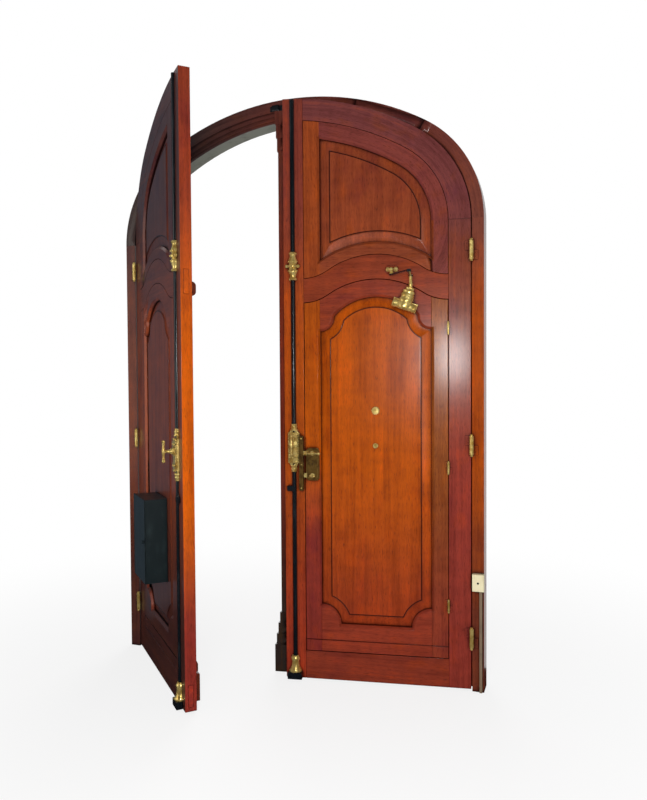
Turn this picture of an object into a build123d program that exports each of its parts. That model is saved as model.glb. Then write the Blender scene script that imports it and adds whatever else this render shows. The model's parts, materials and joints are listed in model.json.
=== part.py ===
from build123d import *
import math
import os

# A pair of arched, panelled mahogany entrance doors in their frame, seen from the room.
# +X is right, +Y is out of the house and +Z is up. The origin lies on the floor, midway
# between the jambs, in the plane of the frame's inner face. Millimetres and degrees.
# Each leaf is drawn closed and right-handed, with its hinges at +X. The left one is
# mirrored, and both then turn about their hinge pins to the angle at which they stand.

# Frame and its three-centred arch
frame_half_width = 990.0
spring_height = 2265.0
arch_rise = 685.0
arch_side_radius = 570.0
jamb_face = 56.0
jamb_depth = 92.0
stop_width = 22.0
lining_depth = 95.0
lining_thickness = 25.0
fixing_hole_radius = 6.0
fixing_hole_heights = (500.0, 1700.0)
crown_segments = 2
side_segments = 2

# Leaves
leaf_thickness = 54.0
leaf_edge_gap = 3.0
leaf_back_gap = 2.0
floor_gap = 10.0
left_open_angle = 44.4
right_open_angle = 9.4
left_meeting_edge = -11.0
right_meeting_edge = 19.0
lead_stile_inner = 120.0
hang_stile_width = 105.0
bottom_rail_top = 150.0
mid_rail_drop = 378.0
mid_rail_height = 118.0
serpent_rise = 107.0
serpent_crown_share = 0.66
tenon_thickness = 24.0
tenon_shoulder = 4.0
stub_tenon_length = 65.0
stop_lip = 14.0
stop_lip_depth = 20.0

# Inner frames and panels
inner_member = 78.0
wicket_gap = 3.0
wicket_back_gap = 4.0
joint_line = 2.0
tongue = 10.0
tongue_thickness = 12.0
tongue_gap = 0.3
sight_moulding = 11.0
panel_margin = 48.0
margin_edge_gap = 1.0
margin_rise = 10.0
field_step = 4.0
foot_ear_radius = 97.0
head_ear_radius = 68.0
panel_foot_rise = 140.0
head_ear_drop = 75.0
head_rise = 96.0
head_cusp_angle = 4.0
upper_foot_bow = 82.8334
upper_foot_rise = 170.0
wicket_band_rise = 57.0
wicket_band_groove = 5.0
wicket_band_groove_depth = 4.0

# Hinges
hinge_foot_height = 260.0
hinge_head_drop = 150.0
hinge_radius = 10.0
hinge_length = 92.0
hinge_pin_radius = 5.0
hinge_stand = 11.0
hinge_flag_width = 30.0
hinge_flag_thickness = 3.0
hinge_end_gap = 0.3
hinge_pin_gap = 0.06
finial_share = 0.85
wicket_hinge_foot_rise = 259.0
wicket_hinge_head_drop = 139.0
wicket_hinge_radius = 5.5
wicket_hinge_length = 58.0
wicket_hinge_pin_radius = 2.8
wicket_hinge_stand = 6.5
wicket_hinge_flag_width = 18.0
wicket_hinge_flag_thickness = 2.0

# Cremone bolt on each leading stile
rod_x = 66.0
rod_radius = 11.0
rod_gap = 0.6
rod_head_gap = 5.4
rod_foot_gap = 8.0
rod_end_gap = 75.0
rod_lug_width = 34.0
rod_lug_height = 26.0
rod_lug_depth = 13.0
rod_lug_drop = 203.0
case_middle = 1168.0
case_height = 172.0
case_width = 58.0
case_depth = 20.0
case_boss_depth = 8.0
case_corner = 11.0
collar_height = 34.0
collar_radius = 19.0
handle_rise = 17.0
handle_standoff = 66.0
handle_bar_length = 104.0
handle_bar_radius = 8.0
handle_shaft_radius = 7.0
handle_shaft_seat = 4.0
handle_collar_radius = 13.0
handle_collar_length = 7.0
shaft_gap = 0.06
upper_guide_rise = 62.0
upper_guide_height = 138.0
upper_guide_radius = 27.0
foot_guide_height = 80.0
foot_guide_radius = 31.0
shoe_height = 34.0
shoe_half_width = 36.0
shoe_depth = 30.0
keep_height = 26.0
keep_rise = 3.0
keep_wall = 5.0
keep_plate_thickness = 4.0
keep_plate_margin = 16.0

# Outside mouldings
trim_end_gap = 31.0
left_trim_gap = 28.0
right_trim_gap = 8.0
plinth_depth = 42.0
plinth_bevel = 14.0
cornice_rise = 7.0
cornice_height = 66.0
cornice_depth = 44.0
cornice_round = 20.0
scroll_height = 150.0
scroll_width = 56.0
scroll_depth = 34.0
astragal_reach = 18.0
astragal_edge = 46.0
astragal_depth = 22.0
astragal_round = 9.0
astragal_back_gap = 2.0
astragal_head_gap = 14.0
capital_height = 203.0
capital_reach = 34.0
capital_edge = 62.0
plinth_block_reach = 54.0
plinth_block_edge = 76.0
base_scroll_height = 168.0

# Letter box on the left leaf
letter_box_inset = 115.0
letter_box_width = 240.0
letter_box_rise = 522.0
letter_box_height = 408.0
letter_box_depth = 106.0
letter_box_wall = 3.0
letter_door_thickness = 3.0
letter_door_gap = 1.0
letter_hinge_radius = 4.0
letter_hinge_pin_radius = 2.0
letter_knob_radius = 8.0
letter_knob_length = 12.0

# Wicket lock
lock_inset = 6.0
lock_width = 66.0
lock_rise = 1007.0
lock_height = 160.0
lock_depth = 22.0
lock_corner = 9.0
lever_rise = 135.0
turn_rise = 25.0
bolt_thickness = 10.0
bolt_height = 22.0
bolt_front = 7.0
bolt_gap = 0.4
latch_end_gap = 3.0
latch_length = 66.0
latch_travel = 12.0
dead_bolt_end_gap = 2.5
dead_bolt_length = 52.0
dead_bolt_travel = 16.0
spindle_radius = 6.0
spindle_seat = 4.0
lever_standoff = 13.0
lever_reach = 34.0
lever_ball_radius = 8.0
turn_length = 30.0
turn_thickness = 7.0
keep_strip_inset = 4.0
keep_strip_width = 21.0
keep_strip_drop = 51.0
keep_strip_height = 270.0
keep_strip_depth = 20.0
keep_pocket_wall = 6.0

# Door closer
closer_offset = 144.0
closer_drop = 25.0
closer_tilt = 20.0
closer_plate_length = 122.0
closer_plate_height = 44.0
closer_plate_thickness = 6.0
closer_barrel_radius = 20.0
closer_barrel_rise = 62.0
closer_barrel_drop = 16.0
closer_neck_radius = 13.0
closer_neck_length = 28.0
closer_tube_radius = 15.0
closer_tube_drop = 5.0
closer_stand = 24.0
spindle_post_radius = 8.0
spindle_pin_radius = 5.0
arm_gap = 2.0
arm_length = 150.0
arm_thickness = 6.0
arm_width = 14.0
arm_eye_radius = 11.0
link_gap = 0.4
bracket_offset = 83.5
bracket_stand = 34.0
bracket_plate_width = 54.0
bracket_plate_height = 34.0
bracket_plate_thickness = 6.0
bracket_boss_drop = 8.8
bracket_boss_radius = 10.0
bracket_boss_gap = 0.8

# Pull handle through the wicket's panel
pull_heights = (1180.0, 1352.0)
pull_standoff = 50.0
pull_bar_radius = 9.0
pull_post_radius = 7.5
pull_bar_overhang = 22.0
pull_bolt_radius = 5.0
pull_bolt_gap = 0.2
pull_rose_radii = (14.0, 21.0)
pull_rose_thickness = 6.0

# Contact box and cable cover on the right jamb
contact_edge_gap = 2.5
contact_width = 56.0
contact_rise = 492.0
contact_height = 82.0
contact_depth = 28.0
contact_round = 4.0
contact_hole_radius = 5.0
contact_hole_depth = 6.0
cable_cover_inset = 8.0
cable_cover_width = 14.0
cable_cover_depth = 10.0
cable_cover_round = 3.0

overrun = 5.0

# Sizes that follow from the ones above
crown_radius = (
    frame_half_width**2 + arch_rise**2 - 2 * frame_half_width * arch_side_radius
) / (2 * (arch_rise - arch_side_radius))
side_centre = frame_half_width - arch_side_radius
crown_centre = spring_height + arch_rise - crown_radius
arch_lean = math.atan2(side_centre, spring_height - crown_centre)
arch_top = spring_height + arch_rise
rebate_depth = leaf_thickness + leaf_back_gap
leaf_inset = jamb_face + leaf_edge_gap
hang_edge = frame_half_width - leaf_inset
hang_stile_inner = hang_edge - hang_stile_width
mid_rail_end = spring_height - mid_rail_drop
upper_end = mid_rail_end + mid_rail_height
rail_inset = leaf_inset + hang_stile_width
hinge_x = hang_edge + leaf_edge_gap / 2
opening_middle = (lead_stile_inner + hang_stile_inner) / 2
opening_half = (hang_stile_inner - lead_stile_inner) / 2
stop_front = leaf_thickness - stop_lip_depth
sight_left = lead_stile_inner + wicket_gap + inner_member
sight_right = hang_stile_inner - wicket_gap - inner_member
sight_middle = (sight_left + sight_right) / 2
sight_inset = rail_inset + wicket_gap + inner_member
tongue_front = (leaf_thickness - tongue_thickness) / 2
field_front = tongue_front - margin_rise - field_step
field_back = leaf_thickness - field_front
panel_foot = bottom_rail_top + panel_foot_rise
head_ear_height = mid_rail_end - head_ear_drop
upper_foot_height = upper_end + upper_foot_rise
sight_half = (sight_right - sight_left) / 2
upper_foot_radius = (sight_half**2 + upper_foot_bow**2) / (2 * upper_foot_bow)
wicket_band_height = bottom_rail_top + wicket_band_rise
wicket_hinge_x = hang_stile_inner - wicket_gap / 2
case_foot = case_middle - case_height / 2
case_top = case_middle + case_height / 2
handle_height = case_middle + handle_rise
shoe_top = floor_gap + shoe_height
left_trim_start = plinth_block_reach + left_trim_gap
right_trim_start = plinth_block_edge + right_trim_gap
trim_end = hang_edge - trim_end_gap
lock_near = lead_stile_inner + wicket_gap + lock_inset
lock_middle = lock_near + lock_width / 2
lever_height = lock_rise + lever_rise
turn_height = lock_rise + turn_rise
keep_strip_edge = lead_stile_inner - keep_strip_inset
keep_strip_near = keep_strip_edge - keep_strip_width
latch_tip = keep_strip_near + keep_pocket_wall + latch_end_gap
dead_bolt_tip = keep_strip_edge + dead_bolt_end_gap
closer_x = opening_middle + closer_offset
closer_height = mid_rail_end - closer_drop
closer_neck_top = closer_barrel_rise + closer_neck_length
spindle_x = closer_x + closer_neck_top * math.sin(math.radians(closer_tilt))
arm_height = mid_rail_end + serpent_rise + arm_gap
bracket_x = opening_middle + bracket_offset
contact_near = frame_half_width - jamb_face + contact_edge_gap


# Flat shapes, drawn in X and Z and given their depth in Y
def slab(shape, front, back):
    return extrude(Plane.XZ.offset(-back) * shape, amount=back - front)


def level(shape, depth):
    return Plane.XZ.offset(-depth) * shape


def area(left, right, foot, top):
    return Pos((left + right) / 2, (foot + top) / 2) * Rectangle(right - left, top - foot)


def block(left, right, front, back, foot, top):
    return slab(area(left, right, foot, top), front, back)


def bevel_between(wide, front, narrow, back):
    return loft([level(wide, front), level(narrow, back)], ruled=True)


def arch_area(inset, foot):
    half = frame_half_width - inset
    side = arch_side_radius - inset
    turn = (math.pi / 2 - arch_lean) / 2
    joint_x = side_centre + side * math.sin(arch_lean)
    joint_z = spring_height + side * math.cos(arch_lean)
    middle_x = side_centre + side * math.cos(turn)
    middle_z = spring_height + side * math.sin(turn)
    outline = Line((-half, foot), (-half, spring_height))
    outline += ThreePointArc((-half, spring_height), (-middle_x, middle_z), (-joint_x, joint_z))
    outline += ThreePointArc((-joint_x, joint_z), (0, arch_top - inset), (joint_x, joint_z))
    outline += ThreePointArc((joint_x, joint_z), (middle_x, middle_z), (half, spring_height))
    outline += Polyline((half, spring_height), (half, foot), (-half, foot))
    return make_face(outline)


def above_spring(shape):
    return shape & area(-frame_half_width, frame_half_width, spring_height, arch_top)


# The right half of a curved head, parted by radial joints into the segments it is made of
def head_segments(band):
    half = band & area(0, frame_half_width, spring_height, arch_top)
    far = 2 * arch_top
    turns = [arch_lean * step / crown_segments for step in range(crown_segments + 1)]
    side_turn = math.pi / 2 - arch_lean
    turns += [arch_lean + side_turn * (step + 1) / side_segments for step in range(side_segments)]
    pieces = []
    for first, last in zip(turns, turns[1:]):
        on_crown = last < arch_lean + side_turn / (2 * side_segments)
        x, z = (0, crown_centre) if on_crown else (side_centre, spring_height)
        rays = [(x + far * math.sin(turn), z + far * math.cos(turn)) for turn in (first, last)]
        pieces.append(half & make_face(Polyline((x, z), *rays, close=True)))
    return pieces


def crown_height(inset, x):
    return crown_centre + math.sqrt((crown_radius - inset) ** 2 - x**2)


# Everything under the serpentine line that rises over the middle of the wicket
def below_serpent(end_height):
    lean = 2 * math.atan(serpent_rise / opening_half)
    reach = opening_half / math.sin(lean)
    crown = reach * serpent_crown_share
    flank = reach - crown
    bend_x = crown * math.sin(lean)
    bend_z = end_height + flank * (1 - math.cos(lean))
    flank_x = opening_half - flank * math.sin(lean / 2)
    flank_z = end_height + flank * (1 - math.cos(lean / 2))
    left, right = -frame_half_width, frame_half_width
    outline = Line((left, end_height), (opening_middle - opening_half, end_height))
    outline += ThreePointArc(
        (opening_middle - opening_half, end_height),
        (opening_middle - flank_x, flank_z),
        (opening_middle - bend_x, bend_z),
    )
    outline += ThreePointArc(
        (opening_middle - bend_x, bend_z),
        (opening_middle, end_height + serpent_rise),
        (opening_middle + bend_x, bend_z),
    )
    outline += ThreePointArc(
        (opening_middle + bend_x, bend_z),
        (opening_middle + flank_x, flank_z),
        (opening_middle + opening_half, end_height),
    )
    outline += Polyline(
        (opening_middle + opening_half, end_height),
        (right, end_height),
        (right, 0),
        (left, 0),
        (left, end_height),
    )
    return make_face(outline)


# The tall panel: rounded ears at its four corners and an arched head
def tall_outline(inset):
    left, right = sight_left + inset, sight_right - inset
    foot = panel_foot + inset
    foot_ear = foot_ear_radius + inset
    head_ear = head_ear_radius + inset
    cusp_turn = math.radians(head_cusp_angle)
    half_chord = sight_half - head_ear_radius * math.cos(cusp_turn)
    bow = head_rise - head_ear_radius * math.sin(cusp_turn)
    head_radius = (half_chord**2 + bow**2) / (2 * bow)
    head = head_radius - inset
    foot_reach = math.sqrt(foot_ear**2 - inset**2)
    head_drop = math.sqrt(head_ear**2 - inset**2)
    head_centre = head_ear_height + head_rise - head_radius
    span_x, span_z = sight_half, head_centre - head_ear_height
    span = math.hypot(span_x, span_z)
    along = (head_ear**2 - head**2 + span**2) / (2 * span)
    across = math.sqrt(head_ear**2 - along**2)
    cusp_x = sight_left + (along * span_x - across * span_z) / span
    cusp_z = head_ear_height + (along * span_z + across * span_x) / span

    def ear_middle(centre_z, radius, first, last):
        turn = (first + last) / 2
        return sight_left + radius * math.cos(turn), centre_z + radius * math.sin(turn)

    foot_angle = math.asin(inset / foot_ear)
    foot_side = math.acos(inset / foot_ear)
    head_side = -math.acos(inset / head_ear)
    head_cusp = math.atan2(cusp_z - head_ear_height, cusp_x - sight_left)
    foot_mid = ear_middle(panel_foot, foot_ear, foot_angle, foot_side)
    head_mid = ear_middle(head_ear_height, head_ear, head_side, head_cusp)

    def other(point):
        return 2 * sight_middle - point[0], point[1]

    foot_end = (sight_left + foot_reach, foot)
    side_foot = (left, panel_foot + foot_reach)
    side_head = (left, head_ear_height - head_drop)
    cusp = (cusp_x, cusp_z)
    outline = Line(other(foot_end), foot_end)
    outline += ThreePointArc(foot_end, foot_mid, side_foot)
    outline += Line(side_foot, side_head)
    outline += ThreePointArc(side_head, head_mid, cusp)
    outline += ThreePointArc(cusp, (sight_middle, head_centre + head), other(cusp))
    outline += ThreePointArc(other(cusp), other(head_mid), other(side_head))
    outline += Line(other(side_head), other(side_foot))
    outline += ThreePointArc(other(side_foot), other(foot_mid), other(foot_end))
    return make_face(outline)


# The upper panel: under the arch, over a hollow foot
def upper_outline(inset):
    left = sight_left + inset
    arch = sight_inset + inset
    right = frame_half_width - arch
    side = arch_side_radius - arch
    foot_radius = upper_foot_radius + inset
    foot_centre = upper_foot_height - upper_foot_radius
    joint = (side_centre + side * math.sin(arch_lean), spring_height + side * math.cos(arch_lean))
    turn = (math.pi / 2 - arch_lean) / 2
    side_middle = (side_centre + side * math.cos(turn), spring_height + side * math.sin(turn))
    crown_x = (left + joint[0]) / 2

    def foot(x):
        return x, foot_centre + math.sqrt(foot_radius**2 - (x - sight_middle) ** 2)

    outline = Line(foot(left), (left, crown_height(arch, left)))
    outline += ThreePointArc(
        (left, crown_height(arch, left)), (crown_x, crown_height(arch, crown_x)), joint
    )
    outline += ThreePointArc(joint, side_middle, (right, spring_height))
    outline += Line((right, spring_height), foot(right))
    outline += ThreePointArc(foot(right), foot(sight_middle), foot(left))
    return make_face(outline)


# What a framed panel takes out of its frame: the sight, the groove and a moulded edge on each face
def sight_cut(outline):
    sight = outline(0)
    groove = outline(-tongue)
    edge = outline(-sight_moulding)
    back = leaf_thickness
    cut = slab(sight, -overrun, back + overrun)
    cut += slab(groove, tongue_front - tongue_gap, back - tongue_front + tongue_gap)
    cut += bevel_between(edge, 0, sight, sight_moulding)
    cut += bevel_between(edge, back, sight, back - sight_moulding)
    return cut


# A panel raised and fielded on both faces, with a tongue all round
def fielded_panel(outline):
    back = leaf_thickness - tongue_front
    near, field = outline(margin_edge_gap), outline(panel_margin)
    panel = slab(outline(tongue_gap - tongue), tongue_front, back)
    panel += bevel_between(near, tongue_front, field, tongue_front - margin_rise)
    panel += bevel_between(near, back, field, back + margin_rise)
    panel += slab(field, field_front, field_back)
    return panel


def lower_area(gap):
    sides = area(
        lead_stile_inner + gap, hang_stile_inner - gap, bottom_rail_top + gap, arch_top
    )
    return sides & below_serpent(mid_rail_end - gap)


def upper_area(gap):
    region = arch_area(rail_inset + gap, 0)
    region &= area(lead_stile_inner + gap, frame_half_width, mid_rail_end, arch_top)
    return region - below_serpent(upper_end + gap)


# The joined frame of one leaf: stiles, rails, stops for the lower frame, and the upper frame
def leaf_frame(meeting_edge):
    depth = leaf_thickness
    whole = arch_area(leaf_inset, floor_gap)
    middle = leaf_thickness / 2
    tenon_front, tenon_back = middle - tenon_thickness / 2, middle + tenon_thickness / 2

    def tenons(foot, top):
        ends = block(meeting_edge, lead_stile_inner, tenon_front, tenon_back, foot, top)
        reach = hang_stile_inner + stub_tenon_length
        return ends, block(hang_stile_inner, reach, tenon_front, tenon_back, foot, top)

    mid_lead, mid_hang = tenons(mid_rail_end + tenon_shoulder, upper_end - tenon_shoulder)
    foot_margin = floor_gap + stop_lip_depth
    foot_lead, foot_hang = tenons(foot_margin, bottom_rail_top - stop_lip_depth)

    lead = slab(whole & area(meeting_edge, lead_stile_inner, floor_gap, arch_top), 0, depth)
    lip = lead_stile_inner + stop_lip
    lead += block(lead_stile_inner, lip, stop_front, depth, bottom_rail_top, mid_rail_end)
    hang = block(hang_stile_inner, hang_edge, 0, depth, floor_gap, spring_height)
    far_lip = hang_stile_inner - stop_lip
    hang += block(far_lip, hang_stile_inner, stop_front, depth, bottom_rail_top, mid_rail_end)

    band = whole - arch_area(rail_inset, floor_gap)
    arch = slab(above_spring(band) & area(lead_stile_inner, hang_edge, 0, arch_top), 0, depth)

    between = area(lead_stile_inner, hang_stile_inner, 0, arch_top)
    serpent = (below_serpent(upper_end) - below_serpent(mid_rail_end)) & between
    mid = slab(serpent, 0, depth)
    under = below_serpent(mid_rail_end) - below_serpent(mid_rail_end - stop_lip)
    mid += slab(under & area(lip, far_lip, 0, arch_top), stop_front, depth)
    bottom = block(lead_stile_inner, hang_stile_inner, 0, depth, floor_gap, bottom_rail_top)
    sill = bottom_rail_top + stop_lip
    bottom += block(lip, far_lip, stop_front, depth, bottom_rail_top, sill)

    upper = slab(upper_area(joint_line), 0, stop_front)
    upper += slab(upper_area(0), stop_front, depth)
    upper -= sight_cut(upper_outline)
    far = frame_half_width
    stile_side = block(0, sight_left, -overrun, depth + overrun, 0, arch_top)
    rail_side = block(
        sight_left, far - sight_inset, -overrun, depth + overrun, 0, spring_height
    )
    beyond_stile = upper - stile_side
    upper_pieces = [upper & stile_side, beyond_stile & rail_side, beyond_stile - rail_side]

    return {
        "lead_stile": lead - mid_lead - foot_lead,
        "hang_stile": hang - mid_hang - foot_hang,
        "arch_rail": arch,
        "mid_rail": mid + mid_lead + mid_hang,
        "bottom_rail": bottom + foot_lead + foot_hang,
        "upper_frame": upper_pieces,
        "upper_panel": fielded_panel(upper_outline),
    }


# The framed panel below the mid rail: the wicket on the right leaf, fixed on the left one
def lower_frame(front_gap, back_gap, step):
    body = slab(lower_area(front_gap), 0, step)
    body += slab(lower_area(stop_lip + back_gap), step, leaf_thickness)
    body -= sight_cut(tall_outline)
    groove_top = wicket_band_height + wicket_band_groove
    body -= block(
        0, frame_half_width, -overrun, wicket_band_groove_depth, wicket_band_height, groove_top
    )
    far = frame_half_width
    back = leaf_thickness + overrun
    halfway = (panel_foot + head_ear_height) / 2
    lead_side = block(0, sight_left, -overrun, back, 0, arch_top)
    hang_side = block(sight_right, far, -overrun, back, 0, arch_top)
    top_side = block(sight_left, sight_right, -overrun, back, halfway, arch_top)
    foot_side = block(sight_left, sight_right, -overrun, back, 0, halfway)
    return {
        "lock_stile": body & lead_side,
        "hinge_stile": body & hang_side,
        "top_rail": body & top_side,
        "bottom_rail": body & foot_side,
    }


# One knuckle with its ball finial and flag; side is +1 towards the jamb and -1 towards the leaf
def knuckle(place, radius, length, flag_width, flag_thickness, side, up):
    x, stand, height = place
    low = height if up > 0 else height - length
    body = Pos(x, -stand, low + length / 2) * Cylinder(radius, length)
    body += Pos(x, -stand, height + up * length) * Sphere(radius * finial_share)
    ends = sorted((x, x + side * flag_width))
    body += block(ends[0], ends[1], -flag_thickness, 0, low, low + length)
    return body


def hinge_set(x, stand, heights, radius, length, pin_radius, flag_width, flag_thickness):
    fixed, moving = [], []
    half = length / 2 - hinge_end_gap
    pin_length = half * finial_share
    for height in heights:
        low = (x, stand, height - hinge_end_gap)
        high = (x, stand, height + hinge_end_gap)
        pin = Pos(x, -stand, height + pin_length / 2) * Cylinder(pin_radius, pin_length)
        foot = Pos(x, -stand, height - hinge_end_gap) * Cylinder(pin_radius, 2 * hinge_end_gap)
        fixed.append(
            knuckle(low, radius, half, flag_width, flag_thickness, 1, -1) + pin + foot
        )
        bore = Pos(x, -stand, height + pin_length / 2) * Cylinder(
            pin_radius + hinge_pin_gap, pin_length + 2 * hinge_end_gap
        )
        moving.append(knuckle(high, radius, half, flag_width, flag_thickness, -1, 1) - bore)
    return fixed, moving


# Three hinges, evenly spaced between the lowest and the highest
def spread(low, high):
    return low, (low + high) / 2, high


def leaf_hinges():
    heights = spread(hinge_foot_height, spring_height - hinge_head_drop)
    return hinge_set(
        hinge_x, hinge_stand, heights, hinge_radius, hinge_length,
        hinge_pin_radius, hinge_flag_width, hinge_flag_thickness,
    )


def wicket_hinges():
    low = bottom_rail_top + wicket_hinge_foot_rise
    heights = spread(low, mid_rail_end - wicket_hinge_head_drop)
    return hinge_set(
        wicket_hinge_x, wicket_hinge_stand, heights, wicket_hinge_radius,
        wicket_hinge_length, wicket_hinge_pin_radius, wicket_hinge_flag_width,
        wicket_hinge_flag_thickness,
    )


# Half-round bar lying flat on the stile's face
def half_round(radius, foot, top, lift):
    bar = Pos(rod_x, 0, (foot + top) / 2) * Cylinder(radius, top - foot)
    front = block(rod_x - radius, rod_x + radius, -radius, 0, foot, top)
    return Pos(0, -lift, 0) * (bar & front)


def turned(profile):
    outline = make_face(Plane.XZ * Polyline(*profile, close=True))
    return revolve(outline, Axis.Z)


# Turned pieces are halved by the stile's face and bored for the rod behind them
def half_turned(profile, foot, height, radius):
    points = [(0, foot), *((radius * r, foot + height * z) for r, z in profile), (0, foot + height)]
    whole = Pos(rod_x, 0, 0) * turned(points)
    front = block(rod_x - radius, rod_x + radius, -radius, 0, foot, foot + height)
    channel = half_round(rod_radius + rod_gap, foot - overrun, foot + height + overrun, 0)
    return (whole & front) - channel


baluster_shares = (
    (0.62, 0.0), (0.78, 0.05), (0.62, 0.1), (0.66, 0.22), (0.86, 0.34), (0.68, 0.44),
    (1.0, 0.5), (0.68, 0.56), (0.86, 0.66), (0.66, 0.78), (0.62, 0.9), (0.78, 0.95), (0.62, 1.0),
)
flared_shares = ((1.0, 0.0), (1.0, 0.12), (0.78, 0.3), (0.6, 0.6), (0.72, 0.82), (0.6, 1.0))
collar_shares = ((0.9, 0.0), (1.0, 0.2), (0.8, 0.5), (1.0, 0.8), (0.85, 1.0))
bar_shares = (
    (0.0, 0.0), (0.8, 0.03), (1.0, 0.08), (0.6, 0.16), (0.75, 0.3), (0.95, 0.5),
    (0.75, 0.7), (0.6, 0.84), (1.0, 0.92), (0.8, 0.97), (0.0, 1.0),
)
lever_shares = (
    (0.0, 0.0), (0.65, 0.025), (1.0, 0.095), (0.65, 0.165), (0.55, 0.19), (0.55, 0.41),
    (0.7, 0.43), (1.0, 0.5), (0.7, 0.57), (0.55, 0.59), (0.55, 0.81), (0.65, 0.835),
    (1.0, 0.905), (0.65, 0.975), (0.0, 1.0),
)


# A plate with its four corners hollowed
def hollow_cornered(left, right, foot, top, corner):
    plate = area(left, right, foot, top)
    for x in (left, right):
        for z in (foot, top):
            plate -= Pos(x, z) * Circle(corner)
    return plate


def bolt_case():
    left, right = rod_x - case_width / 2, rod_x + case_width / 2
    case = slab(hollow_cornered(left, right, case_foot, case_top, case_corner), -case_depth, 0)
    rim = case_corner
    boss = area(left + rim, right - rim, case_foot + 2 * rim, case_top - 2 * rim)
    crest = area(
        left + rim + case_boss_depth, right - rim - case_boss_depth,
        case_foot + 2 * rim + case_boss_depth, case_top - 2 * rim - case_boss_depth,
    )
    case += bevel_between(crest, -case_depth - case_boss_depth, boss, -case_depth)
    case -= half_round(rod_radius + rod_gap, case_foot - overrun, case_top + overrun, 0)
    front = -case_depth - case_boss_depth
    bore_length = handle_shaft_seat + overrun
    bore = Pos(rod_x, front + handle_shaft_seat - bore_length / 2, handle_height) * (
        Rot(90, 0, 0) * Cylinder(handle_shaft_radius + shaft_gap, bore_length)
    )
    collars = [
        half_turned(collar_shares, case_top, collar_height, collar_radius),
        half_turned(collar_shares, case_foot - collar_height, collar_height, collar_radius),
    ]
    return case - bore + collars[0] + collars[1]


def bolt_guides():
    foot = upper_end + upper_guide_rise - upper_guide_height / 2
    baluster = half_turned(baluster_shares, foot, upper_guide_height, upper_guide_radius)
    flare = half_turned(flared_shares, shoe_top, foot_guide_height, foot_guide_radius)
    shoe = block(
        rod_x - shoe_half_width, rod_x + shoe_half_width, -shoe_depth, 0, floor_gap, shoe_top
    )
    shoe -= half_round(rod_radius + rod_gap, floor_gap - overrun, shoe_top + overrun, 0)
    return [baluster, flare + shoe]


def bolt_rods():
    lift = rod_gap / 2
    upper_foot, lower_head = case_middle + rod_end_gap / 2, case_middle - rod_end_gap / 2
    upper_head = crown_height(leaf_inset, rod_x) - rod_head_gap
    upper = half_round(rod_radius, upper_foot, upper_head, lift)
    lower = half_round(rod_radius, floor_gap + rod_foot_gap, lower_head, lift)
    foot = case_middle - rod_lug_drop - rod_lug_height / 2
    lug = block(
        rod_x - rod_lug_width, rod_x, -lift - rod_lug_depth, -lift, foot, foot + rod_lug_height
    )
    return upper, lower + lug


def bolt_handle():
    front = -case_depth - case_boss_depth
    seat = front + handle_shaft_seat - shaft_gap
    length = handle_standoff + seat
    shaft = Pos(rod_x, seat - length / 2, handle_height) * (
        Rot(90, 0, 0) * Cylinder(handle_shaft_radius, length)
    )
    collar = Pos(rod_x, front - shaft_gap - handle_collar_length / 2, handle_height) * (
        Rot(90, 0, 0) * Cylinder(handle_collar_radius, handle_collar_length)
    )
    points = [
        (handle_bar_radius * r, handle_bar_length * z - handle_bar_length / 2)
        for r, z in bar_shares
    ]
    bar = Pos(rod_x, -handle_standoff, handle_height) * turned(points)
    return shaft + collar + bar


# Staples on the head of the frame that take the two upper bolts
def head_keep():
    inner = rod_radius + 2 * rod_gap
    foot = crown_height(jamb_face, rod_x) + keep_rise
    top = foot + keep_height
    reach = rod_x + inner + keep_wall
    front = -inner - rod_gap - keep_wall
    plate = block(
        -reach - keep_plate_margin, reach + keep_plate_margin, -keep_plate_thickness, 0, foot, top
    )
    for side in (-1, 1):
        ends = sorted((side * (rod_x - inner - keep_wall), side * reach))
        plate += block(ends[0], ends[1], front, 0, foot, top)
    for side in (-1, 1):
        ends = sorted((side * (rod_x - inner), side * (rod_x + inner)))
        plate -= block(ends[0], ends[1], front + keep_wall, 0, foot - overrun, top + overrun)
    return plate


# Mouldings on the outside face: plinth, serpentine cornice, and a scroll above the plinth
def outer_trim(start):
    face = leaf_thickness
    plinth = bevel_between(
        area(start, trim_end, floor_gap, bottom_rail_top), face,
        area(start, trim_end, floor_gap, bottom_rail_top - plinth_bevel), face + plinth_depth,
    )
    foot = mid_rail_end + cornice_rise
    band = below_serpent(foot + cornice_height) - below_serpent(foot)
    cornice = slab(band & area(start, trim_end, 0, arch_top), face, face + cornice_depth)
    nose = cornice.faces().sort_by(Axis.Y)[-1].edges().filter_by(
        lambda edge: edge.length > cornice_height * 2
    )
    cornice = fillet(nose, cornice_round)
    foot = bottom_rail_top
    curl = Polyline(
        (face, foot + scroll_height), (face, foot), (face + scroll_depth, foot)
    )
    curl += Line((face + scroll_depth, foot), (face + scroll_depth, foot + scroll_depth))
    curl += ThreePointArc(
        (face + scroll_depth, foot + scroll_depth),
        (face + scroll_depth / 2, foot + scroll_height / 2),
        (face, foot + scroll_height),
    )
    scroll = extrude(Plane.YZ.offset(start) * make_face(curl), amount=scroll_width)
    return [plinth, cornice, scroll]


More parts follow.
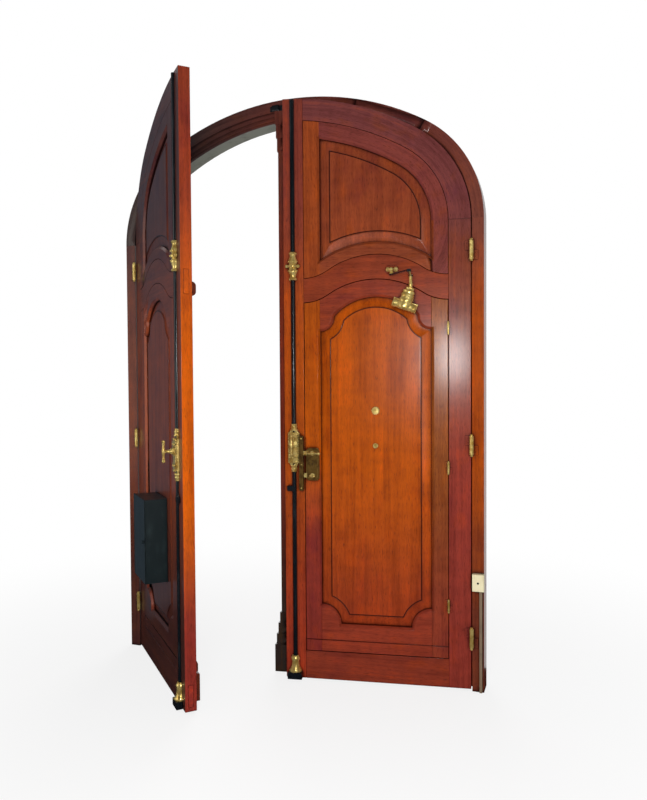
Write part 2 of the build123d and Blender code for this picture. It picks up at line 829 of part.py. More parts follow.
# Cover strip along the right leaf's meeting edge, with a carved foot and head
def astragal():
    face = leaf_thickness
    lap = face + astragal_back_gap
    top = crown_height(jamb_face + stop_width, capital_edge) - astragal_head_gap
    capital_foot = top - capital_height
    base_scroll_top = bottom_rail_top + base_scroll_height

    def strip(reach, edge, depth, foot, top):
        body = block(-reach, edge, lap, face + depth, foot, top)
        return body + block(right_meeting_edge, edge, face, lap, foot, top)

    shaft = strip(
        astragal_reach, astragal_edge, astragal_depth, base_scroll_top, capital_foot
    )
    nose = shaft.faces().sort_by(Axis.Y)[-1].edges().filter_by(Axis.Z)
    pieces = [fillet(nose, astragal_round)]
    pieces.append(
        strip(plinth_block_reach, plinth_block_edge, plinth_depth, floor_gap, bottom_rail_top)
    )
    steps = 3
    rise = base_scroll_height / steps
    for step in range(steps):
        share = (steps - step) / (steps + 1)
        reach = astragal_reach + (plinth_block_reach - astragal_reach) * share
        edge = astragal_edge + (plinth_block_edge - astragal_edge) * share
        depth = astragal_depth + (plinth_depth - astragal_depth) * share
        foot = bottom_rail_top + step * rise
        pieces.append(strip(reach, edge, depth, foot, foot + rise))
    rise = capital_height / steps
    for step in range(steps):
        share = (step + 1) / steps
        reach = astragal_reach + (capital_reach - astragal_reach) * share
        edge = astragal_edge + (capital_edge - astragal_edge) * share
        foot = capital_foot + step * rise
        pieces.append(strip(reach, edge, astragal_depth, foot, foot + rise))
    return pieces


def letter_box():
    left = sight_left + letter_box_inset
    right = left + letter_box_width
    foot, top = letter_box_rise, letter_box_rise + letter_box_height
    back, front = field_front, field_front - letter_box_depth
    wall = letter_box_wall
    body = block(left, right, front, back, foot, top)
    body -= block(left + wall, right - wall, front - overrun, back - wall, foot + wall, top - wall)
    radius, pin = letter_hinge_radius, letter_hinge_pin_radius
    hinge_x_place = right + radius
    hinge_y = front - letter_door_gap
    third = letter_box_height / 3
    middle = (foot + top) / 2
    door = block(
        left, right - letter_door_gap, front - letter_door_gap - letter_door_thickness,
        front - letter_door_gap, foot, top,
    )
    door_pipe = Pos(hinge_x_place, hinge_y, middle) * Cylinder(radius, third)
    web = block(
        right - 2 * letter_door_gap, hinge_x_place, hinge_y - letter_door_thickness, hinge_y,
        middle - third / 2, middle + third / 2,
    )
    bore = Pos(hinge_x_place, hinge_y, middle) * Cylinder(pin + hinge_pin_gap, 2 * third)
    door_face = front - letter_door_gap - letter_door_thickness
    knob = Rot(90, 0, 0) * Cone(
        letter_knob_radius * finial_share, letter_knob_radius, letter_knob_length
    )
    door = door + door_pipe + web - bore
    door += Pos(left + 2 * letter_knob_radius, door_face - letter_knob_length / 2, middle) * knob
    for end in (-1, 1):
        length = third - hinge_end_gap
        height = middle + end * (third / 2 + hinge_end_gap + length / 2)
        body += Pos(hinge_x_place, hinge_y, height) * Cylinder(radius, length)
        body += block(
            right - wall, hinge_x_place, front, front + radius,
            height - length / 2, height + length / 2,
        )
    body += Pos(hinge_x_place, hinge_y, middle) * Cylinder(pin, third + 2 * hinge_end_gap + third)
    return body, door


def lock_case():
    left, right = lock_near, lock_near + lock_width
    foot, top = lock_rise, lock_rise + lock_height
    case = slab(hollow_cornered(left, right, foot, top, lock_corner), -lock_depth, 0)
    back = -bolt_front + bolt_gap
    front = -bolt_front - bolt_thickness - bolt_gap
    half = bolt_height / 2 + bolt_gap
    ends = {
        lever_height: latch_tip + latch_length + latch_travel + bolt_gap,
        turn_height: dead_bolt_tip + dead_bolt_length + bolt_gap,
    }
    for height, end in ends.items():
        case -= block(left - overrun, end, front, back, height - half, height + half)
        case -= Pos(lock_middle, -lock_depth, height) * (
            Rot(90, 0, 0) * Cylinder(spindle_radius + shaft_gap, 2 * spindle_seat)
        )
    return case


def lock_bolt(tip, length, height):
    front = -bolt_front - bolt_thickness
    half = bolt_height / 2
    return block(tip, tip + length, front, -bolt_front, height - half, height + half)


def turning_spindle(height, standoff):
    length = spindle_seat - shaft_gap + standoff
    start = -lock_depth + spindle_seat - shaft_gap
    spindle = Pos(lock_middle, start - length / 2, height) * (
        Rot(90, 0, 0) * Cylinder(spindle_radius, length)
    )
    rose = Pos(lock_middle, -lock_depth - shaft_gap - spindle_seat / 2, height) * (
        Rot(90, 0, 0) * Cylinder(2 * spindle_radius, spindle_seat)
    )
    return spindle + rose


def lock_lever():
    depth = -lock_depth - lever_standoff
    half = lever_reach + lever_ball_radius
    points = [(lever_ball_radius * r, 2 * half * z - half) for r, z in lever_shares]
    bar = Pos(lock_middle, depth, lever_height) * (Rot(0, 90, 0) * turned(points))
    return turning_spindle(lever_height, lever_standoff) + bar


def thumb_turn():
    depth = -lock_depth - lever_standoff
    turn = turning_spindle(turn_height, lever_standoff)
    half = turn_length / 2
    return turn + block(
        lock_middle - half, lock_middle + half, depth - turn_thickness, depth + turn_thickness / 2,
        turn_height - turn_thickness / 2, turn_height + turn_thickness / 2,
    )


def lock_keep():
    left, right = keep_strip_near, keep_strip_edge
    low = lock_rise - keep_strip_drop
    keep = block(left, right, -keep_strip_depth, 0, low, low + keep_strip_height)
    front = -bolt_front - bolt_thickness - 2 * bolt_gap
    back = -bolt_front + 2 * bolt_gap
    half = bolt_height / 2 + 2 * bolt_gap
    for height in (lever_height, turn_height):
        keep -= block(
            left + keep_pocket_wall, right + overrun, front, back, height - half, height + half
        )
    return keep


def closer():
    plate_half = closer_plate_length / 2
    plate = block(
        -plate_half, plate_half, -closer_plate_thickness, 0,
        -closer_plate_height / 2, closer_plate_height / 2,
    )
    height = closer_barrel_rise + closer_barrel_drop
    body = plate + Pos(0, -closer_stand, height / 2 - closer_barrel_drop) * Cylinder(
        closer_barrel_radius, height
    )
    neck_middle = closer_barrel_rise + closer_neck_length / 2
    body += Pos(0, -closer_stand, neck_middle) * Cylinder(closer_neck_radius, closer_neck_length)
    tube_length = closer_plate_length - closer_tube_radius
    body += Pos(0, -closer_tube_radius - closer_plate_thickness / 2, -closer_tube_drop) * (
        Rot(0, 90, 0) * Cylinder(closer_tube_radius, tube_length)
    )
    body = Pos(closer_x, 0, closer_height) * (Rot(0, closer_tilt, 0) * body)
    post_foot = closer_height + closer_barrel_rise
    post_top = arm_height - link_gap
    post = Pos(spindle_x, -closer_stand, (post_foot + post_top) / 2) * Cylinder(
        spindle_post_radius, post_top - post_foot
    )
    pin_top = arm_height + arm_thickness
    pin = Pos(spindle_x, -closer_stand, (post_top + pin_top) / 2) * Cylinder(
        spindle_pin_radius, pin_top - post_top
    )
    return body + post + pin


# A flat bar with a rounded eye at each end, standing at a height, seen from above
def eyed_bar(start, end, foot):
    run_x, run_y = end[0] - start[0], end[1] - start[1]
    length = math.hypot(run_x, run_y)
    turn = math.degrees(math.atan2(run_y, run_x))
    bar = Pos(length / 2, 0) * Rectangle(length, arm_width)
    for x in (0, length):
        bar += Pos(x, 0) * Circle(arm_eye_radius)
    return Pos(start[0], start[1], foot) * (Rot(0, 0, turn) * extrude(bar, arm_thickness))


def closer_links():
    spindle = (spindle_x, -closer_stand)
    elbow = (spindle_x, -closer_stand - arm_length)
    pivot = (bracket_x, -bracket_stand)
    link_foot = arm_height + arm_thickness + link_gap
    link_top = link_foot + arm_thickness

    def upright(place, radius, foot, top):
        return Pos(place[0], place[1], (foot + top) / 2) * Cylinder(radius, top - foot)

    bore = spindle_pin_radius + shaft_gap
    arm = eyed_bar(spindle, elbow, arm_height)
    arm -= upright(spindle, bore, arm_height - overrun, link_top)
    arm += upright(elbow, spindle_pin_radius, arm_height, link_top)
    link = eyed_bar(elbow, pivot, link_foot)
    link -= upright(elbow, bore, arm_height, link_top + overrun)
    return arm, link


def closer_bracket():
    plate_half = bracket_plate_width / 2
    boss_foot = arm_height + 2 * arm_thickness + link_gap + bracket_boss_gap
    plate_foot = boss_foot + bracket_boss_drop
    top = plate_foot + bracket_plate_height
    bracket = block(
        bracket_x - plate_half, bracket_x + plate_half, -bracket_plate_thickness, 0,
        plate_foot, top,
    )
    bracket += block(
        bracket_x - bracket_boss_radius, bracket_x + bracket_boss_radius, -bracket_stand, 0,
        plate_foot, plate_foot + 2 * bracket_boss_radius,
    )
    boss_top = plate_foot + 2 * bracket_boss_radius
    return bracket + Pos(bracket_x, -bracket_stand, (boss_foot + boss_top) / 2) * Cylinder(
        bracket_boss_radius, boss_top - boss_foot
    )


# A bar handle outside, its two bolts through the panel, and a rose on each inside
def pull_handle():
    outside = field_back + pull_standoff
    roses = []
    foot = pull_heights[0] - pull_bar_overhang
    top = pull_heights[-1] + pull_bar_overhang
    bar = Pos(sight_middle, outside, (foot + top) / 2) * Cylinder(pull_bar_radius, top - foot)
    rose_front = field_front - pull_rose_thickness
    bolt_end = rose_front + pull_rose_thickness / 3
    for height, rose_radius in zip(pull_heights, pull_rose_radii):
        length = outside - bolt_end
        bar += Pos(sight_middle, bolt_end + length / 2, height) * (
            Rot(90, 0, 0) * Cylinder(pull_bolt_radius, length)
        )
        bar += Pos(sight_middle, field_back + pull_standoff / 2, height) * (
            Rot(90, 0, 0) * Cylinder(pull_post_radius, pull_standoff)
        )
        rose = Pos(sight_middle, field_front - pull_rose_thickness / 2, height) * (
            Rot(90, 0, 0)
            * Cone(rose_radius, rose_radius * finial_share, pull_rose_thickness)
        )
        rose -= Pos(sight_middle, field_front, height) * (
            Rot(90, 0, 0)
            * Cylinder(pull_bolt_radius + pull_bolt_gap, 2 * (field_front - bolt_end))
        )
        roses.append(rose)
    return [bar, *roses]


def pull_holes():
    length = leaf_thickness + 2 * overrun
    holes = None
    for height in pull_heights:
        hole = Pos(sight_middle, leaf_thickness / 2, height) * (
            Rot(90, 0, 0) * Cylinder(pull_bolt_radius + pull_bolt_gap, length)
        )
        holes = hole if holes is None else holes + hole
    return holes


def jamb():
    outer = frame_half_width
    post = block(outer - jamb_face, outer, 0, rebate_depth, 0, spring_height)
    post += block(
        outer - jamb_face - stop_width, outer, rebate_depth, jamb_depth, 0, spring_height
    )
    middle = (rebate_depth + jamb_depth) / 2
    for height in fixing_hole_heights:
        post -= Pos(outer - jamb_face / 2, middle, height) * (
            Rot(0, 90, 0) * Cylinder(fixing_hole_radius, 2 * (jamb_face + stop_width))
        )
    return post


def frame_arch():
    stop_inset = jamb_face + stop_width
    whole = arch_area(0, 0)
    front = head_segments(whole - arch_area(jamb_face, 0))
    back = head_segments(whole - arch_area(stop_inset, 0))
    segments = [
        slab(near, 0, rebate_depth) + slab(far, rebate_depth, jamb_depth)
        for near, far in zip(front, back)
    ]
    return segments + mirrored(segments)


def outer_lining():
    stop_inset = jamb_face + stop_width
    band = arch_area(stop_inset - lining_thickness, 0) - arch_area(stop_inset, 0)
    end = jamb_depth + lining_depth
    leg = band & area(0, frame_half_width, 0, spring_height)
    half = [slab(shape, jamb_depth, end) for shape in (leg, *head_segments(band))]
    return half + mirrored(half)


def contact_box():
    box = block(
        contact_near, contact_near + contact_width, -contact_depth, 0,
        contact_rise, contact_rise + contact_height,
    )
    front = box.faces().sort_by(Axis.Y)[0]
    box = fillet(front.edges(), contact_round)
    middle = contact_near + contact_width / 2
    hole = Pos(middle, -contact_depth, contact_rise + contact_height / 2) * (
        Rot(90, 0, 0) * Cylinder(contact_hole_radius, 2 * contact_hole_depth)
    )
    return box - hole


def cable_cover():
    edge = frame_half_width - cable_cover_inset
    cover = block(edge - cable_cover_width, edge, -cable_cover_depth, 0, 0, contact_rise)
    front = cover.faces().sort_by(Axis.Y)[0]
    return fillet(front.edges().filter_by(Axis.Z), cable_cover_round)


def pieces_of(shape):
    shapes = shape if isinstance(shape, list) else [shape]
    return [solid for each in shapes for solid in each.solids()]


# Places on the finished door: the right leaf as drawn, the left one mirrored
def hang_right(shape):
    pin = Axis((hinge_x, -hinge_stand, 0), (0, 0, 1))
    return [solid.rotate(pin, right_open_angle) for solid in pieces_of(shape)]


def mirrored(shape):
    return [mirror(solid, about=Plane.YZ) for solid in pieces_of(shape)]


def hang_left(shape):
    pin = Axis((-hinge_x, -hinge_stand, 0), (0, 0, 1))
    turned_in = []
    for solid in mirrored(shape):
        turned_in += [each.rotate(pin, -left_open_angle) for each in solid.solids()]
    return turned_in


def build_frame(nodes):
    fixed, moving = leaf_hinges()
    nodes["left_jamb"] = mirrored(jamb())
    nodes["right_jamb"] = pieces_of(jamb())
    nodes["frame_arch"] = pieces_of(frame_arch())
    nodes["outer_lining"] = pieces_of(outer_lining())
    nodes["head_keep"] = pieces_of(head_keep())
    nodes["left_frame_hinges"] = mirrored(fixed)
    nodes["right_frame_hinges"] = pieces_of(fixed)
    nodes["left_leaf_hinges"] = hang_left(moving)
    nodes["right_leaf_hinges"] = hang_right(moving)
    nodes["contact_box"] = pieces_of(contact_box())
    nodes["cable_cover"] = pieces_of(cable_cover())


def build_bolt(nodes, side, hang):
    upper_rod, lower_rod = bolt_rods()
    nodes[side + "_bolt_case"] = hang(bolt_case())
    nodes[side + "_bolt_guides"] = hang(bolt_guides())
    nodes[side + "_bolt_handle"] = hang(bolt_handle())
    nodes[side + "_upper_rod"] = hang(upper_rod)
    nodes[side + "_lower_rod"] = hang(lower_rod)


def build_left_leaf(nodes):
    for name, shape in leaf_frame(left_meeting_edge).items():
        nodes["left_" + name] = hang_left(shape)
    nodes["left_lower_frame"] = hang_left(list(lower_frame(joint_line, 0, stop_front).values()))
    nodes["left_lower_panel"] = hang_left(fielded_panel(tall_outline))
    nodes["left_outer_trim"] = hang_left(outer_trim(left_trim_start))
    build_bolt(nodes, "left", hang_left)
    box, door = letter_box()
    nodes["letter_box"] = hang_left(box)
    nodes["letter_box_door"] = hang_left(door)


def build_right_leaf(nodes):
    for name, shape in leaf_frame(right_meeting_edge).items():
        nodes["right_" + name] = hang_right(shape)
    nodes["right_outer_trim"] = hang_right(outer_trim(right_trim_start))
    nodes["astragal"] = hang_right(astragal())
    build_bolt(nodes, "right", hang_right)
    nodes["lock_keep"] = hang_right(lock_keep())
    nodes["closer_bracket"] = hang_right(closer_bracket())


def build_wicket(nodes):
    fixed, moving = wicket_hinges()
    nodes["wicket_frame_hinges"] = hang_right(fixed)
    nodes["wicket_leaf_hinges"] = hang_right(moving)
    step = stop_front - leaf_back_gap
    for name, shape in lower_frame(wicket_gap, wicket_back_gap, step).items():
        nodes["wicket_" + name] = hang_right(shape)
    nodes["wicket_panel"] = hang_right(fielded_panel(tall_outline) - pull_holes())
    nodes["wicket_pull"] = hang_right(pull_handle())
    nodes["lock_case"] = hang_right(lock_case())
    nodes["lock_lever"] = hang_right(lock_lever())
    nodes["thumb_turn"] = hang_right(thumb_turn())
    nodes["latch_bolt"] = hang_right(lock_bolt(latch_tip, latch_length, lever_height))
    nodes["dead_bolt"] = hang_right(lock_bolt(dead_bolt_tip, dead_bolt_length, turn_height))
    arm, link = closer_links()
    nodes["closer_body"] = hang_right(closer())
    nodes["closer_arm"] = hang_right(arm)
    nodes["closer_link"] = hang_right(link)


def main():
    nodes = {}
    build_frame(nodes)
    build_left_leaf(nodes)
    build_right_leaf(nodes)
    build_wicket(nodes)
    os.makedirs("parts", exist_ok=True)
    for name, solids in nodes.items():
        each = [solid for shape in solids for solid in shape.solids()]
        shape = each[0] if len(each) == 1 else Compound(children=each)
        export_step(shape, os.path.join("parts", name + ".step"))
    print(len(nodes), "nodes")


main()
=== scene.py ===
import json
import math

import bmesh
import bpy
from mathutils import Matrix, Vector

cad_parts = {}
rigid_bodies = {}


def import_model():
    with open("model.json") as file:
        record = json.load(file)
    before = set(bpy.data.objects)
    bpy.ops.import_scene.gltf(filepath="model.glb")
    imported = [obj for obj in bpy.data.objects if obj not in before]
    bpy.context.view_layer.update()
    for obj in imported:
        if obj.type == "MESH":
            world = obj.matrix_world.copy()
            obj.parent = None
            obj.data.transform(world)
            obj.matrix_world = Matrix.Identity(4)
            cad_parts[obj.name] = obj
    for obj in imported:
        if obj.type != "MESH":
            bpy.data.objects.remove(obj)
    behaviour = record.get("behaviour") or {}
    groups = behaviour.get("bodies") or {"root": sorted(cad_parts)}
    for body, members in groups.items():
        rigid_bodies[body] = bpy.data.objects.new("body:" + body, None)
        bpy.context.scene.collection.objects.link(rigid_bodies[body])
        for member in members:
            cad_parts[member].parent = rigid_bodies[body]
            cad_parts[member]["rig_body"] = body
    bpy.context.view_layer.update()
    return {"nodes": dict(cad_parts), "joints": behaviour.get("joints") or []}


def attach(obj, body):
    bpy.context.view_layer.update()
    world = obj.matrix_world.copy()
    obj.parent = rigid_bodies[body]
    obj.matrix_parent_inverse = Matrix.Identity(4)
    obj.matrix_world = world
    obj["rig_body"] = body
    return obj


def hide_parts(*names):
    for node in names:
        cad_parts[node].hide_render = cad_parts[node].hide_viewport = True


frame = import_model()
jointNamed = {joint["name"]: joint for joint in frame["joints"]}
print("frame loaded:", len(frame["nodes"]), "nodes")


# A leaf is described closed and right-handed, then hung on its pin at the angle it stands at
leafAngles = {"left_leaf_hinge": 44.4, "right_leaf_hinge": 9.4}


def leafPlace(jointName, flipped):
    joint = jointNamed[jointName]
    pin = Matrix.Translation((joint["pos_m"][0], joint["pos_m"][1], 0))
    turn = math.radians(leafAngles[jointName]) * joint["axis"][2]
    place = pin @ Matrix.Rotation(turn, 4, "Z") @ pin.inverted()
    if flipped:
        place = place @ Matrix.Scale(-1, 4, (1, 0, 0))
    return {"matrix": place, "pin": joint["pos_m"], "turn": turn}


places = {
    "left": leafPlace("left_leaf_hinge", True),
    "right": leafPlace("right_leaf_hinge", False),
    "frame": {"matrix": Matrix(), "pin": (0, 0, 0), "turn": 0.0},
    "frameLeft": {"matrix": Matrix.Scale(-1, 4, (1, 0, 0)), "pin": (0, 0, 0), "turn": 0.0},
}


def tint(red, green, blue):
    def straight(level):
        level = level / 255
        return level / 12.92 if level <= 0.04045 else ((level + 0.055) / 1.055) ** 2.4

    return straight(red), straight(green), straight(blue), 1.0


# Shader sockets that can be added, multiplied and compared like numbers
class Wire:
    def __init__(self, recipe, node, output):
        self.recipe = recipe
        self.node = node
        self.socket = node.outputs[output] if len(node.outputs) else None

    def out(self, output):
        return Wire(self.recipe, self.node, output)

    def maths(self, operation, *values):
        sockets = dict(enumerate(values))
        return self.recipe.add("Math", {"operation": operation}, sockets)

    def __add__(self, other):
        return self.maths("ADD", self, other)

    def __radd__(self, other):
        return self.maths("ADD", other, self)

    def __sub__(self, other):
        return self.maths("SUBTRACT", self, other)

    def __rsub__(self, other):
        return self.maths("SUBTRACT", other, self)

    def __mul__(self, other):
        return self.maths("MULTIPLY", self, other)

    def __rmul__(self, other):
        return self.maths("MULTIPLY", other, self)

    def __pow__(self, other):
        return self.maths("POWER", self, other)

    def __rpow__(self, other):
        return self.maths("POWER", other, self)

    def __gt__(self, other):
        return self.maths("GREATER_THAN", self, other)

    def __lt__(self, other):
        return self.maths("LESS_THAN", self, other)


class Recipe:
    def __init__(self, tree):
        self.tree = tree
        self.tree.nodes.clear()

    def add(self, kind, settings=None, sockets=None, output=0):
        node = self.tree.nodes.new("ShaderNode" + kind)
        for key, value in (settings or {}).items():
            if key == "stops":
                ramp = node.color_ramp.elements
                while len(ramp) < len(value):
                    ramp.new(0.5)
                for element, (position, colour) in zip(ramp, value):
                    element.position = position
                    element.color = colour
            else:
                setattr(node, key, value)
        for key, value in (sockets or {}).items():
            if isinstance(value, Wire):
                self.tree.links.new(value.socket, node.inputs[key])
            else:
                node.inputs[key].default_value = value
        return Wire(self, node, output)

    def mix(self, share, first, second, how="MIX"):
        settings = {"data_type": "RGBA", "blend_type": how}
        return self.add("Mix", settings, {0: share, 6: first, 7: second}, 2)

    def smooth(self, value, low, high, start=0.0, end=1.0):
        sockets = {0: value, 1: low, 2: high, 3: start, 4: end}
        return self.add("MapRange", {"interpolation_type": "SMOOTHSTEP"}, sockets)

    def join(self, x, y, z):
        return self.add("CombineXYZ", None, {0: x, 1: y, 2: z})

    def noise(self, vector, scale=1.0, detail=2.0, roughness=0.5):
        sockets = {"Vector": vector, "Scale": scale, "Detail": detail, "Roughness": roughness}
        return self.add("TexNoise", None, sockets)

    def larger(self, first, second):
        return self.add("Math", {"operation": "MAXIMUM"}, {0: first, 1: second})

    def bump(self, height, strength):
        return self.add("Bump", None, {"Strength": strength, "Distance": 1.0, "Height": height})

    def crevice(self, reach):
        settings = {"samples": 8, "only_local": False}
        return self.add("AmbientOcclusion", settings, {"Distance": reach}, "AO")


def newFinish(name):
    material = bpy.data.materials.new(name)
    material.use_nodes = True
    return material, Recipe(material.node_tree)


def paintWith(recipe, sockets):
    shader = recipe.add("BsdfPrincipled", None, sockets)
    recipe.add("OutputMaterial", None, {"Surface": shader})


# Mahogany. Each tone is given at the foot, at eye level and at the head of the door. Where a tone is
# brighter at eye level than at the foot and head, and where the pieces near the head are darker, that is
# painted light and shade of a lamp beside the camera
woodLook = {
    "varnishRough": 0.34, "smearRough": 0.16, "hollowRough": 0.2, "shine": 0.05, "coat": 0.55,
    "coatRough": 0.19,
    "grainWander": 0.036, "seedStep": 3.1, "blotch": 0.62, "lift": 0.5, "pore": 0.62,
    "broadShare": 0.36, "streakShare": 0.36, "fibreShare": 0.28, "rippleShare": 0.16,
    "poreCut": (0.57, 0.70), "blotchCut": (0.50, 0.72), "bloomCut": (0.52, 0.74), "liftCut": (0.52, 0.72),
    # The crevice colour is dirt and painted shade, multiplied in where ambient occlusion finds crevices
    "creviceReach": 0.026, "creviceCut": (0.46, 0.97), "creviceShade": (0.16, 0.128, 0.128, 1.0),
    "footBlend": (0.25, 1.15), "riseBlend": (1.6, 2.45), "shadeBlend": (-0.75, 0.30),
    "plum": (0.66, 0.56, 1.05, 1.0), "amber": (1.22, 1.10, 0.55, 1.0),
    "liftColour": (1.0, 0.62, 0.22, 1.0), "poreColour": (0.035, 0.010, 0.006, 1.0),
    "waveHeight": 0.0009, "fibreHeight": 0.00012, "poreHeight": 0.00008, "bump": 0.6,
}
# Each pattern: stretch along the grain, fineness across it, detail, roughness, and if pieces differ in it
grainPatterns = {
    "wander": (1.3, 5.0, 2.0, 0.5, True),
    "broad": (0.7, 15.0, 3.0, 0.55, True),
    "streak": (2.2, 70.0, 3.0, 0.55, True),
    "fibre": (11.0, 560.0, 2.0, 0.55, True),
    "pores": (34.0, 620.0, 1.0, 0.55, True),
    "ripple": (16.0, 9.0, 1.0, 0.5, False),
    "blotch": (3.4, 7.0, 3.0, 0.6, True),
    "bloom": (7.5, 13.0, 3.0, 0.6, True),
    "smear": (3.0, 11.0, 3.0, 0.5, False),
    "wave": (3.5, 12.0, 1.0, 0.5, False),
}
stripeStops = [
    (0.26, (0.36, 0.30, 0.34, 1.0)), (0.41, (0.74, 0.70, 0.72, 1.0)),
    (0.53, (1.0, 1.0, 1.0, 1.0)), (0.70, (1.16, 1.12, 0.95, 1.0)),
]
woodTones = {
    "field": ((144, 53, 20), (172, 76, 2), (144, 61, 10)),
    "wicketStile": ((124, 44, 34), (168, 75, 4), (124, 64, 24)),
    "wicketHinge": ((134, 54, 34), (138, 72, 26), (126, 66, 28)),
    "wicketRail": ((136, 52, 32), (132, 54, 32), (124, 50, 34)),
    "midRail": ((130, 53, 30), (130, 54, 30), (128, 54, 30)),
    "leadStile": ((150, 52, 28), (160, 70, 12), (126, 55, 42)),
    "upperStile": ((148, 68, 28), (148, 68, 28), (146, 66, 28)),
    "upperArch": ((122, 58, 48), (122, 58, 48), (122, 57, 50)),
    "upperRail": ((138, 65, 33), (138, 65, 33), (132, 62, 36)),
    "upperField": ((146, 68, 28), (146, 68, 28), (136, 62, 34)),
    "archRail": ((112, 58, 50), (112, 58, 50), (112, 56, 54)),
    "hangStile": ((136, 50, 38), (124, 58, 36), (108, 56, 52)),
    "bottomRail": ((128, 50, 32), (128, 50, 32), (128, 50, 32)),
    "frameHead": ((112, 60, 48), (112, 60, 48), (106, 52, 44)),
    "jamb": ((112, 52, 34), (158, 67, 2), (112, 60, 48)),
    # Painted shade and light: the left jamb and the left leaf's faces take darker copies of the tones, and
    # the left leaf's meeting edge and its lit moulding take brighter ones
    "jambLeft": ((84, 46, 38), (116, 56, 36), (84, 48, 40)),
    "meetingEdge": ((138, 46, 36), (194, 86, 4), (138, 55, 34)),
    "litMoulding": ((120, 54, 38), (158, 74, 40), (120, 58, 44)),
    "leftFace": ((86, 46, 38), (138, 65, 40), (92, 50, 44)),
    "outside": ((100, 44, 28), (104, 46, 28), (92, 42, 30)),
    # The quirk tone is dark for the grooves round the fields: partly dirt, partly painted shade
    "quirk": ((62, 26, 16), (78, 34, 14), (54, 24, 18)),
    "coverStrip": ((44, 36, 32), (112, 42, 24), (92, 44, 36)),
}
# Heights between which a tone changes, where they aren't footBlend and riseBlend; these changes carry
# painted light and shade
toneFoot = {"wicketStile": (0.62, 1.22), "hangStile": (0.9, 1.7), "meetingEdge": (0.3, 0.95)}
toneRise = {
    "hangStile": (2.05, 2.30), "jamb": (1.75, 2.28), "frameHead": (2.20, 2.86), "coverStrip": (1.9, 2.6),
}
# Painted shade: the left end of the frame head darkens to this tone
shadedTones = {"frameHead": (58, 44, 42)}  # what the left end of a piece darkens to
madeFinishes = {}

# The three-centred arch that the grain of the curved rails follows
archLook = {
    "crownCentre": 1.5555, "crownRadius": 1.3945, "sideCentre": 0.42, "sideRadius": 0.57, "spring": 2.265,
    "sideStart": 0.45,
}


def archWires(recipe, x, z):
    look = archLook
    crownUp, sideX, sideUp = z - look["crownCentre"], x - look["sideCentre"], z - look["spring"]
    crownReach = (x * x + crownUp * crownUp) ** 0.5
    sideReach = (sideX * sideX + sideUp * sideUp) ** 0.5
    onSide = (x * (look["spring"] - look["crownCentre"]) - crownUp * look["sideCentre"]) > 0.0
    crownTurn = recipe.add("Math", {"operation": "ARCTAN2"}, {0: x, 1: crownUp}) * look["crownRadius"]
    sideTurn = recipe.add("Math", {"operation": "ARCTAN2"}, {0: sideX, 1: sideUp}) * look["sideRadius"]
    inset = onSide * (look["sideRadius"] - sideReach) + (1 - onSide) * (look["crownRadius"] - crownReach)
    along = onSide * (sideTurn + look["sideStart"]) + (1 - onSide) * crownTurn
    return along, inset


def grainWires(recipe, grain, place):
    coords = recipe.add("TexCoord", None, None, "Object")
    pinX, pinY = place["pin"][0], place["pin"][1]
    leaf = recipe.add("Mapping", {"vector_type": "TEXTURE"}, {
        "Vector": coords, "Location": (pinX, pinY, 0), "Rotation": (0, 0, place["turn"]),
    })
    apart = recipe.add("SeparateXYZ", None, {0: leaf})
    x, depth, z = apart.out(0), apart.out(1), apart.out(2)
    if grain == "up":
        return z, x, depth, z, x
    if grain == "across":
        return x, z, depth, z, x
    along, inset = archWires(recipe, recipe.add("Math", {"operation": "ABSOLUTE"}, {0: x + pinX}), z)
    return along, inset, depth, z, x


